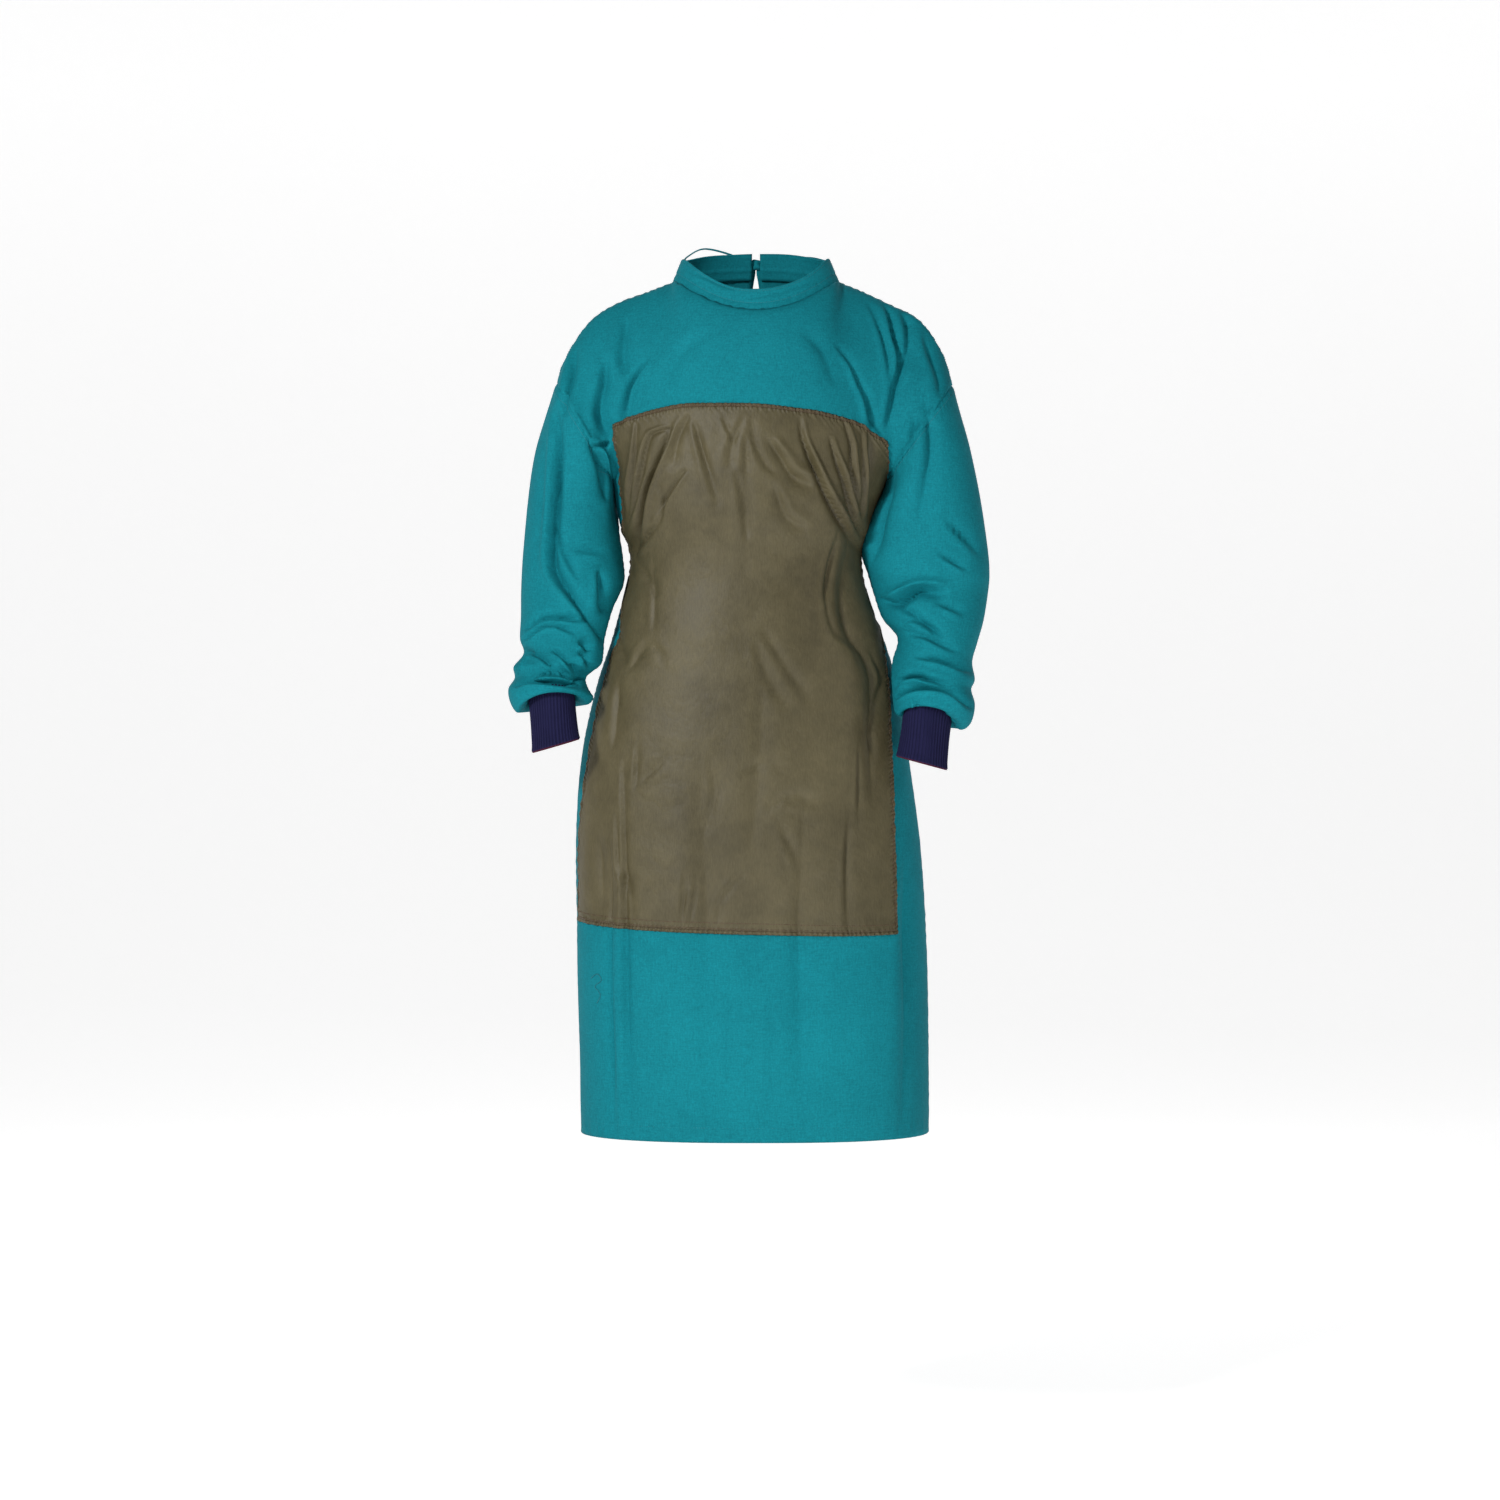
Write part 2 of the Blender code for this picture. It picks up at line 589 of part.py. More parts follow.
def make_collar():
    """A stand-up band, open at the centre back."""
    to_angle = math.pi / 2 / NECK_SHARE
    lap = back_overlap(2)
    lap_start = max(lap, LAP_START)
    half = [mix(0, math.pi / 2, 2 * k / FRONT_NECK_COLUMNS) for k in range(FRONT_NECK_COLUMNS // 2 + 1)]
    half += [math.pi - to_angle * mix(NECK_SHARE, lap_start, k / BACK_NECK_COLUMNS)
             for k in range(1, BACK_NECK_COLUMNS + 1)]
    half.append(math.pi + to_angle * lap)
    angles = [-angle for angle in reversed(half[1:])] + half
    outer = []
    for j in range(COLLAR_ROWS + 1):
        outer.append([collar_place(angle, j / COLLAR_ROWS) for angle in angles])
    normals = grid_normals(outer, False)
    if normals[0][len(half)].y > 0:
        normals = [[-normal for normal in line] for line in normals]
    level = Vector((0, 0, 1))
    normals = [[flatten(normal, level) for normal in line] for line in normals]
    cloth_wall("collar", outer, moved(outer, normals, -KNIT_WALL), False, "teal")


def smooth_path(points, count):
    table = with_index(points)
    return [Vector(smooth_row(table, k / count)) for k in range(count + 1)]


def make_tape(name, points, across, width, count):
    """A flat tape along a smooth path. across is the way of its width, at its start and end."""
    path = smooth_path(points, count)
    ways = [path[min(k + 1, count)] - path[max(k - 1, 0)] for k in range(count + 1)]
    ways[0] = Vector(points[1]) - Vector(points[0])
    ways[-1] = Vector(points[-1]) - Vector(points[-2])
    outer, inner = [], []
    for k, place in enumerate(path):
        along = ways[k].normalized()
        wide = across[0].lerp(across[1], k / count)
        wide = flatten(wide, along)
        thick = along.cross(wide).normalized() * TAPE_WALL / 2
        half = wide * width / 2
        outer.append([place - half + thick, place + half + thick])
        inner.append([place - half - thick, place + half - thick])
    cloth_wall(name, outer, inner, False, "teal")


def make_knot(name, centre, size):
    """A knot is a small block with rounded edges, flat where the tapes come out of it."""
    mesh = bpy.data.meshes.new(name)
    shape = bmesh.new()
    bmesh.ops.create_cube(shape, size=1.0)
    bmesh.ops.scale(shape, vec=size, verts=shape.verts)
    bmesh.ops.bevel(shape, geom=shape.edges[:], offset=KNOT_ROUNDING, segments=2, profile=0.5,
                    affect="EDGES", material=-1)
    bmesh.ops.translate(shape, vec=centre, verts=shape.verts)
    shape.to_mesh(mesh)
    shape.free()
    piece = bpy.data.objects.new(name, mesh)
    bpy.context.scene.collection.objects.link(piece)
    mesh.materials.append(material(name, COLOURS["teal"], 0.8))
    mesh.shade_smooth()


# The waist tie's knot at the centre back and its bow, and the neck tie's
WAIST_KNOT = Vector((0.0, 0.1078, WAIST_Z))
WAIST_KNOT_SIZE = (0.024, 0.014, 0.022)
NECK_KNOT = Vector((0.0, 0.0741, 0.030))
NECK_KNOT_SIZE = (0.013, 0.011, 0.012)
TIE_STAND_OFF = 0.0032
BELT_END_SHARE = 0.012
KNOT_ROUNDING = 0.0025


def make_waist_belt(name, edge):
    """One half of the waist tie: from the panel's side, round the side seam, to the knot."""
    places = []
    front_share, front_steps, back_steps = 0.90, 3, 14
    for k in range(front_steps + 1):
        places.append((mix(front_share, 1, k / front_steps), -1))
    for k in range(1, back_steps + 1):
        places.append((mix(1, BELT_END_SHARE, k / back_steps), 1))
    outer, inner = [], []
    for lift in (WAIST_TAPE_WIDTH / 2, -WAIST_TAPE_WIDTH / 2):
        row_out, row_in = [], []
        for share, side in places:
            place = ring_place(WAIST_Z + lift, edge * share, side)
            out = Vector((place.x, place.y, 0)).normalized()
            row_in.append(place + out * TIE_STAND_OFF)
            row_out.append(place + out * (TIE_STAND_OFF + TAPE_WALL))
        outer.append(row_out)
        inner.append(row_in)
    cloth_wall(name, outer, inner, False, "teal")


# Columns: x, y, z offsets from the knot, along each loop and free end, for the left side
WAIST_LOOP = (
    (-0.0124, 0.000, 0.003),
    (-0.0170, 0.000, 0.003),
    (-0.0330, 0.007, 0.011),
    (-0.0560, 0.010, 0.002),
    (-0.0680, 0.010, -0.020),
    (-0.0600, 0.008, -0.036),
    (-0.0420, 0.004, -0.026),
    (-0.0280, 0.001, -0.014),
    (-0.0170, 0.000, -0.004),
    (-0.0124, 0.000, -0.004),
)
WAIST_END = (
    (-0.0068, 0.0000, -0.0113),
    (-0.0069, 0.0001, -0.0180),
    (-0.0095, 0.0030, -0.0400),
    (-0.0140, 0.0080, -0.090),
    (-0.0170, 0.0145, -0.150),
    (-0.0180, 0.0215, -0.210),
    (-0.0180, 0.0275, -0.270),
)
NECK_LOOP = (
    (-0.0069, 0.000, 0.003),
    (-0.0110, 0.000, 0.003),
    (-0.0350, -0.001, 0.014),
    (-0.0660, -0.004, 0.020),
    (-0.0860, -0.009, 0.010),
    (-0.0900, -0.011, 0.002),
    (-0.0780, -0.006, -0.006),
    (-0.0450, -0.001, -0.008),
    (-0.0110, 0.000, -0.003),
    (-0.0069, 0.000, -0.003),
)
NECK_END = (
    (-0.0042, 0.0015, -0.0063),
    (-0.0043, 0.0018, -0.0110),
    (-0.0060, 0.0055, -0.0200),
    (-0.0078, 0.0105, -0.0330),
    (-0.0095, 0.0175, -0.0600),
    (-0.0108, 0.0240, -0.0900),
    (-0.0118, 0.0300, -0.1250),
    (-0.0120, 0.0335, -0.1500),
)


def beside(knot, offsets, edge, droop=1.0):
    return [(knot.x + dx * -edge, knot.y + dy, knot.z + dz * (droop if dz > 0 else 1.0))
            for dx, dy, dz in offsets]


def make_ties():
    upright, level = Vector((0, 0, 1)), Vector((1, 0, 0))
    make_knot("waist_knot", WAIST_KNOT, WAIST_KNOT_SIZE)
    make_knot("neck_knot", NECK_KNOT, NECK_KNOT_SIZE)
    for side, edge in (("left", -1), ("right", 1)):
        make_waist_belt("waist_tie_" + side, edge)
        make_tape("waist_loop_" + side, beside(WAIST_KNOT, WAIST_LOOP, edge),
                  (Vector((0, 1, 0.2)), Vector((0, 1, -0.2))), 0.012, 14)
        make_tape("waist_end_" + side, beside(WAIST_KNOT, WAIST_END, edge),
                  (level, level), 0.012, 9)
        make_tape("neck_loop_" + side, beside(NECK_KNOT, NECK_LOOP, edge, 1.0 if edge < 0 else 0.45),
                  (Vector((0, 1, 0)), Vector((0, 1, 0))), NECK_TAPE_WIDTH, 14)
        make_tape("neck_end_" + side, beside(NECK_KNOT, NECK_END, edge),
                  (level, level), NECK_TAPE_WIDTH, 7)


def main():
    for old in list(bpy.data.objects):
        bpy.data.objects.remove(old, do_unlink=True)
    front, normals = make_front()
    make_panel(front, normals)
    make_back("back_left", -1)
    make_back("back_right", 1)
    make_sleeve("sleeve_left", LEFT_SLEEVE, -1)
    make_sleeve("sleeve_right", RIGHT_SLEEVE, 1)
    make_cuff("cuff_left", LEFT_CUFF)
    make_cuff("cuff_right", RIGHT_CUFF)
    make_collar()
    make_ties()


main()
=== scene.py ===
"""Looks of a worn surgical gown: woven cloth, a coated front panel, knitted cuffs and tapes."""
import math

import bmesh
import bpy
import numpy as np
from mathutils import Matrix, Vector


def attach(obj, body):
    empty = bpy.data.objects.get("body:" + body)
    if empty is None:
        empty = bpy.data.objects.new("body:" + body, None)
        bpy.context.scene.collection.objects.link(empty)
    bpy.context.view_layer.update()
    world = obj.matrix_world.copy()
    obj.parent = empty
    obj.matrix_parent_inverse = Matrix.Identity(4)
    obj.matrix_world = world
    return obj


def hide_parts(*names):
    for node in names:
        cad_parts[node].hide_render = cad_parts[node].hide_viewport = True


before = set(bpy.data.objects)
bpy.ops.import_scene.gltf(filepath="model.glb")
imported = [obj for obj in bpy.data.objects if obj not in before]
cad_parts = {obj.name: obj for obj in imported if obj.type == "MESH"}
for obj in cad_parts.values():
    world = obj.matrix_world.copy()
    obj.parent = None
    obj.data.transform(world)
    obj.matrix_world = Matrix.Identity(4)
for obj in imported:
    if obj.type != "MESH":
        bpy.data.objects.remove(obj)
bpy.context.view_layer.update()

MM = 0.001

# The camera looks level at the front from well back, at the middle of the picture
CAMERA_DISTANCE = 4.5
PICTURE_SIDE = 1.875
PICTURE_CENTRE = (-0.0075, -0.586)
SENSOR = 36.0
FLOOR_Z = -1.480


def make_camera():
    data = bpy.data.cameras.new("camera")
    data.sensor_width = SENSOR
    data.lens = SENSOR * CAMERA_DISTANCE / PICTURE_SIDE
    camera = bpy.data.objects.new("camera", data)
    bpy.context.scene.collection.objects.link(camera)
    camera.location = (PICTURE_CENTRE[0], -CAMERA_DISTANCE, PICTURE_CENTRE[1])
    camera.rotation_euler = (math.pi / 2, 0, 0)
    bpy.context.scene.camera = camera


make_camera()

# The gown's own sizes, in metres. The front faces -Y and the neck opening is at the origin
HEM_Z = -1.061
UNDERARM_Z = -0.250
NECK_HALF_WIDTH = 0.1035
NECK_FRONT_Y = -0.085
NECK_BACK_Y = 0.072
NECK_FRONT_DROP = 0.045
NECK_BACK_RISE = 0.014
NECK_SHARE = 0.40
COLLAR_HEIGHT = 0.027
COLLAR_LEAN = 0.011
WAIST_Z = -0.339
PANEL_BOTTOM_Z = -0.812
CLOTH = 0.0009
PANEL_LIFT = 0.0011
SLEEVE_CLEARANCE = 0.0015
BODY_LENGTH = UNDERARM_Z - HEM_Z
SIDES = (("left", -1), ("right", 1))

# About how many metres of cloth there are to one unit of a share or of a height
SHARE_METRES = 0.25
YOKE_METRES = 0.22
SLEEVE_LENGTH = 0.45
SLEEVE_GIRTH = 0.36
HALF_GIRTH = 0.255
HALF_GIRTH_ABOVE = 0.235

# Columns: z, left side x, right side x, front y, back y, squareness of the ring
BODY_RINGS = (
    (-1.061, -0.2180, 0.2160, -0.152, 0.150, 2.40),
    (-0.908, -0.2205, 0.2150, -0.149, 0.144, 2.40),
    (-0.808, -0.2235, 0.2125, -0.146, 0.139, 2.35),
    (-0.695, -0.2250, 0.2040, -0.141, 0.132, 2.30),
    (-0.581, -0.2155, 0.1880, -0.134, 0.123, 2.25),
    (-0.503, -0.1985, 0.1760, -0.128, 0.116, 2.20),
    (-0.449, -0.1805, 0.1600, -0.123, 0.109, 2.20),
    (-0.408, -0.1690, 0.1440, -0.119, 0.102, 2.20),
    (-0.376, -0.1590, 0.1330, -0.117, 0.097, 2.20),
    (-0.339, -0.1570, 0.1300, -0.118, 0.095, 2.20),
    (-0.301, -0.1710, 0.1430, -0.123, 0.102, 2.20),
    (-0.250, -0.1790, 0.1620, -0.127, 0.112, 2.15),
)

# Columns: share of the shoulder from neck to armhole, left x, left z, right x, right z
SHOULDER_LINE = (
    (0.00, -0.1035, 0.000, 0.1035, 0.000),
    (0.22, -0.1370, -0.013, 0.1330, -0.012),
    (0.44, -0.1720, -0.026, 0.1690, -0.029),
    (0.62, -0.2030, -0.045, 0.2010, -0.045),
    (0.78, -0.2250, -0.072, 0.2225, -0.070),
    (0.90, -0.2410, -0.102, 0.2380, -0.101),
    (1.00, -0.2490, -0.1275, 0.2460, -0.1300),
)

# Columns: outer x, outer z, inner x, inner z, centre y, half depth. One row for each sleeve section
LEFT_SLEEVE = (
    (-0.2490, -0.1275, -0.1790, -0.2500, 0.000, 0.0740),
    (-0.2620, -0.1680, -0.1745, -0.2680, 0.001, 0.0720),
    (-0.2760, -0.2170, -0.1715, -0.2880, 0.003, 0.0690),
    (-0.2855, -0.2760, -0.1700, -0.3150, 0.004, 0.0670),
    (-0.2910, -0.3350, -0.1655, -0.3450, 0.000, 0.0660),
    (-0.2930, -0.3850, -0.1640, -0.3770, -0.010, 0.0660),
    (-0.2930, -0.4200, -0.1780, -0.4110, -0.025, 0.0620),
    (-0.2935, -0.4480, -0.1870, -0.4470, -0.040, 0.0580),
    (-0.2885, -0.4660, -0.1880, -0.4650, -0.049, 0.0550),
    (-0.3000, -0.4830, -0.1910, -0.4810, -0.057, 0.0570),
    (-0.2980, -0.4970, -0.2080, -0.4960, -0.063, 0.0490),
    (-0.3050, -0.5110, -0.2060, -0.5090, -0.070, 0.0520),
    (-0.3020, -0.5280, -0.1990, -0.5220, -0.076, 0.0510),
    (-0.2930, -0.5400, -0.2070, -0.5310, -0.081, 0.0410),
    (-0.2830, -0.5330, -0.2190, -0.5270, -0.084, 0.0290),
    (-0.2800, -0.5200, -0.2220, -0.5160, -0.084, 0.0270),
)
RIGHT_SLEEVE = (
    (0.2460, -0.1300, 0.1620, -0.2500, 0.000, 0.0740),
    (0.2560, -0.1680, 0.1570, -0.2660, -0.004, 0.0720),
    (0.2680, -0.2120, 0.1470, -0.2850, -0.008, 0.0700),
    (0.2800, -0.2700, 0.1390, -0.3080, -0.010, 0.0700),
    (0.2895, -0.3350, 0.1330, -0.3400, -0.010, 0.0700),
    (0.2915, -0.3650, 0.1400, -0.3650, -0.012, 0.0690),
    (0.2900, -0.3870, 0.1470, -0.3900, -0.013, 0.0670),
    (0.2830, -0.4250, 0.1570, -0.4220, -0.030, 0.0620),
    (0.2740, -0.4540, 0.1750, -0.4470, -0.042, 0.0560),
    (0.2670, -0.4770, 0.1690, -0.4740, -0.052, 0.0540),
    (0.2690, -0.4990, 0.1670, -0.4950, -0.062, 0.0550),
    (0.2640, -0.5120, 0.1680, -0.5130, -0.069, 0.0510),
    (0.2680, -0.5310, 0.1690, -0.5290, -0.076, 0.0530),
    (0.2630, -0.5520, 0.1710, -0.5400, -0.083, 0.0470),
    (0.2520, -0.5600, 0.1760, -0.5440, -0.086, 0.0370),
    (0.2400, -0.5510, 0.1800, -0.5400, -0.087, 0.0280),
)
SLEEVES = {-1: LEFT_SLEEVE, 1: RIGHT_SLEEVE}

# Columns: outer x, outer z, inner x, inner z, centre y, half depth, at the cuff's top and bottom
CUFFS = {
    -1: ((-0.2800, -0.5220, -0.2220, -0.5180, -0.084, 0.0270),
         (-0.2735, -0.5900, -0.2155, -0.5730, -0.103, 0.0250)),
    1: ((0.2400, -0.5510, 0.1800, -0.5400, -0.087, 0.0280),
        (0.2330, -0.6110, 0.1710, -0.5940, -0.106, 0.0260)),
}

# The panel's edges as seen from the front, in millimetres: x, z along its top, z, x up its two sides
PANEL_TOP_LINE = (
    (-200, -190), (-180, -179), (-151, -168), (-120, -159), (-90, -153), (-54, -152), (4, -153),
    (55, -159), (77, -162), (109, -170), (132, -178), (147, -189), (165, -200), (185, -214),
)
PANEL_LEFT_LINE = (
    (-830, -222), (-700, -222), (-648, -217), (-584, -208), (-540, -200), (-502, -191), (-460, -178),
    (-440, -173), (-400, -166),
    (-340, -158), (-305, -170), (-240, -176), (-179, -180), (-140, -182),
)
PANEL_RIGHT_LINE = (
    (-830, 177), (-700, 174), (-620, 172), (-560, 170), (-500, 168), (-440, 156), (-400, 141),
    (-340, 131), (-305, 145), (-240, 165), (-200, 165), (-140, 165),
)

# Columns: share of the front, how much higher than its lowest place the panel's foot is there
PANEL_FOOT = ((-1.0, 0.017), (-0.6, 0.010), (-0.2, 0.0045), (0.3, 0.0), (0.8, 0.002), (1.0, 0.003))

# Columns: height, how far the back's free edge passes the centre, in shares of the half ring
BACK_OVERLAP = (
    (0.00, 0.300),
    (0.60, 0.260),
    (1.00, 0.200),
    (1.45, 0.099),
    (1.75, -0.012),
    (2.00, -0.014),
)
UNDER_LAP = 0.0065
LAP_RAMP = 0.22
LAP_FADE = 0.25

# Creases as seen from the front, in millimetres: half width, depth (a ridge is negative), how strong
# a ridge runs on the right-hand side of the line, then the line's places as x, z
FRONT_CREASES = (
    (5, 8.5, -0.7, (-138, -99), (-149, -118), (-158, -136), (-164, -160), (-170, -179)),
    (10, 6.5, 0.4, (-162, -48), (-168, -89), (-165, -118)),
    (9, 9.0, 0.4, (-188, -99), (-191, -128), (-196, -161), (-191, -180), (-184, -196)),
    (6, 7.0, 0.4, (-225, -86), (-228, -96), (-234, -128), (-239, -146), (-242, -168)),
    (6, 9.0, 0.5, (155, -24), (165, -36), (172, -64), (179, -89), (180, -108), (174, -134),
     (169, -160), (165, -182)),
    (5, 4.0, 0.4, (140, -30), (149, -44), (161, -76), (168, -114), (165, -142)),
    (5, 5.5, 0.6, (100, -80), (118, -101), (130, -128), (141, -152), (145, -189)),
    (9, 7.0, 0.3, (180, -30), (189, -50), (191, -80), (186, -108)),
    (8, 5.0, 0.3, (211, -68), (218, -89), (229, -121), (230, -142)),
    (5, 5.0, 0.3, (132, -136), (146, -171), (159, -192)),
    (14, 3.0, 0.2, (-60, -62), (-96, -90), (-112, -128)),
    (14, 3.0, 0.2, (56, -62), (84, -88), (100, -130)),
    (5.5, 9.0, -0.7, (-105, -181), (-114, -206), (-124, -229), (-134, -251), (-141, -270),
     (-145, -286), (-152, -339)),
    (6, 6.0, 0.5, (-127, -236), (-138, -262), (-146, -296), (-155, -336)),
    (4, 5.0, 0.6, (-106, -184), (-124, -189), (-134, -199), (-145, -242), (-157, -284), (-162, -306)),
    (3.5, 4.0, 0.7, (-148, -178), (-152, -225), (-160, -275), (-164, -296)),
    (4, 4.5, -0.7, (-89, -237), (-104, -258), (-118, -280), (-124, -298)),
    (3.5, 3.0, 0.5, (-122, -256), (-116, -275), (-119, -294), (-128, -310)),
    (4, 4.5, -0.6, (-123, -306), (-136, -322), (-151, -341)),
    (7, 3.0, 0.4, (-84, -166), (-98, -196), (-104, -232)),
    (6, 2.2, 0.5, (-16, -170), (-31, -204), (-34, -232)),
    (4, 1.6, 0.5, (-42, -170), (-32, -192), (-28, -206)),
    (6, 2.4, 0.5, (-7, -172), (-2, -202), (12, -230), (29, -244)),
    (7, 2.4, 0.4, (-12, -182), (-13, -230), (-12, -280), (-14, -322)),
    (6, 3.2, 0.5, (-78, -174), (-62, -231), (-46, -282)),
    (7, 3.2, 0.4, (-24, -238), (-16, -282), (-12, -321)),
    (5, 8.0, -0.8, (55, -171), (59, -197), (72, -230), (90, -270), (114, -313), (131, -339)),
    (4.5, 7.0, -0.7, (93, -197), (100, -221), (112, -254), (121, -289), (130, -322)),
    (4, 5.5, -0.7, (111, -178), (119, -202), (121, -237), (126, -270), (130, -294)),
    (4, 4.0, -0.8, (133, -188), (134, -237), (131, -294), (133, -313)),
    (8, 6.0, 0.4, (142, -195), (145, -249), (138, -303)),
    (9, 6.0, -0.7, (17, -199), (31, -220), (45, -242), (71, -258)),
    (8, 4.0, -0.5, (24, -256), (38, -294), (60, -309)),
    (6, 3.0, 0.4, (98, -327), (90, -361), (86, -398)),
    (6, 2.0, 0.4, (-146, -352), (-134, -374), (-124, -394)),
    (19, 6.5, 0.25, (118, -316), (108, -380), (116, -436), (138, -468), (148, -504), (145, -574),
     (146, -650)),
    (5, 1.3, 0.5, (103, -306), (92, -350), (87, -394), (96, -436), (120, -455), (131, -486)),
    (4, 2.2, 0.4, (146, -462), (160, -494), (152, -528)),
    (4, 2.0, 0.4, (152, -536), (144, -566), (152, -596)),
    (9, 2.6, 0.4, (9, -437), (36, -481), (69, -529)),
    (9, 2.4, 0.4, (-1, -455), (16, -498), (40, -534)),
    (10, 3.2, 0.4, (-177, -410), (-170, -461), (-160, -487)),
    (6, 2.0, -0.4, (-160, -487), (-146, -466), (-132, -451)),
    (6, 1.6, -0.4, (-131, -452), (-120, -462), (-112, -470)),
    (4, 1.0, 0.5, (-130, -338), (-127, -390), (-128, -446)),
    (3, 2.2, 0.5, (-10, -731), (-37, -763), (-47, -778), (-48, -803)),
    (5, 3.2, 0.5, (-174, -657), (-172, -731), (-160, -752), (-153, -800)),
    (4, 2.2, 0.5, (-90, -742), (-93, -803)),
    (4, 2.2, 0.5, (-74, -746), (-84, -803)),
    (6, 2.4, 0.5, (30, -680), (40, -702), (54, -728)),
    (7, 2.2, 0.4, (12, -660), (44, -646), (78, -655)),
    (6, 2.0, 0.5, (-147, -627), (-128, -612), (-112, -597)),
    (14, 4.0, 0.3, (-198, -690), (-192, -800)),
    (7, 2.0, 0.4, (-60, -600), (-52, -640), (-66, -690)),
    (6, 1.8, 0.5, (-20, -616), (8, -604), (36, -612)),
    (8, 3.2, 0.4, (-172, -502), (-178, -581)),
    (4, 2.0, 0.6, (-149, -581), (-150, -632)),
    (4, 2.2, 0.6, (128, -585), (128, -669)),
    (6, 2.8, 0.5, (115, -674), (113, -740), (115, -818)),
    (5.5, 4.5, 0.7, (-166, -600), (-165, -720), (-163, -860), (-158, -1068)),
    (4.5, 3.4, -0.6, (-181, -690), (-181, -860), (-177, -1066)),
    (5, 1.4, 0.5, (-35, -840), (-33, -1060)),
    (5, 1.2, 0.5, (18, -850), (16, -1066)),
    (6, 2.2, 0.5, (-120, -1010), (-90, -1040), (-60, -1056)),
    (14, 5.0, 0.3, (186, -724), (190, -899), (184, -1055)),
    (26, 4.0, 0.2, (62, -640), (54, -800), (58, -1050)),
    (30, 4.0, 0.2, (-70, -620), (-62, -820), (-64, -1050)),
    (18, 2.6, 0.2, (8, -480), (2, -600), (-8, -720)),
)
SLEEVE_CREASES = (
    (7, 9.0, 0.5, (-251, -165), (-249, -196), (-251, -269), (-256, -345), (-248, -370),
     (-230, -393), (-212, -416), (-191, -445), (-187, -458)),
    (4, 3.5, 0.7, (-248, -329), (-226, -335), (-188, -339)),
    (6, 7.0, -0.6, (-210, -199), (-204, -206), (-191, -230), (-186, -274)),
    (4, 5.0, -0.7, (-204, -206), (-182, -201)),
    (9, 6.0, 0.2, (-180, -205), (-176, -261), (-170, -311)),
    (5, 6.0, 0.7, (-289, -435), (-269, -422), (-250, -420), (-208, -424)),
    (4, 4.5, 0.6, (-291, -449), (-272, -434), (-254, -429), (-226, -439)),
    (4.5, 5.0, 0.6, (-256, -460), (-243, -468), (-228, -484), (-221, -495)),
    (6, 5.5, 0.4, (-222, -462), (-212, -470), (-206, -486)),
    (3.5, 4.5, 0.6, (-304, -490), (-292, -468), (-280, -462)),
    (4, 2.5, 0.5, (-246, -504), (-224, -497), (-206, -493)),
    (6, 6.0, 0.4, (-221, -450), (-205, -461)),
    (4.5, 6.0, 0.5, (-301, -506), (-282, -500), (-251, -502), (-221, -505)),
    (8, 6.0, 0.3, (-195, -362), (-192, -389), (-191, -414)),
    (4, 3.0, 0.5, (-288, -462), (-268, -470), (-252, -486)),
    (5, 3.5, 0.5, (-262, -300), (-240, -340), (-222, -372)),
    (6, 4.0, 0.4, (200, -168), (188, -206)),
    (4, 3.0, 0.6, (225, -339), (245, -350), (264, -360)),
    (7, 10.0, -0.8, (156, -398), (172, -401), (189, -392), (206, -385), (236, -389)),
    (4, 3.5, 0.5, (180, -430), (196, -424), (218, -432), (236, -446)),
    (3.5, 4.5, 0.5, (174, -506), (188, -495), (204, -492), (214, -500)),
    (3, 2.5, 0.5, (196, -520), (200, -532), (198, -542)),
    (5, 3.5, 0.6, (225, -401), (260, -414)),
    (5, 5.0, 0.6, (201, -469), (232, -475), (269, -488)),
    (5, 5.0, 0.6, (175, -499), (200, -494), (222, -499), (244, -506)),
    (4.5, 7.0, 0.5, (172, -522), (191, -512), (216, -509), (244, -515), (269, -534)),
    (9, 6.0, 0.2, (170, -236), (155, -299), (145, -349)),
    (14, 5.0, 0.3, (211, -149), (218, -211), (202, -299)),
    (9, 5.0, 0.4, (178, -405), (199, -418), (230, -449)),
    (5, 4.0, 0.6, (190, -440), (215, -446), (250, -462)),
    (6, 3.5, 0.5, (236, -300), (262, -322), (280, -340)),
)

COLLAR_CREASES = (
    (3.5, 1.6, 0.6, (-82, 10), (-62, 4), (-44, -4), (-26, -10)),
    (3.5, 1.2, 0.6, (18, -20), (44, -10), (70, 0), (90, 8)),
    (3, 1.0, 0.6, (-20, -24), (6, -20), (30, -12)),
    (3, 0.9, 0.6, (-92, -4), (-74, -12), (-56, -20)),
)

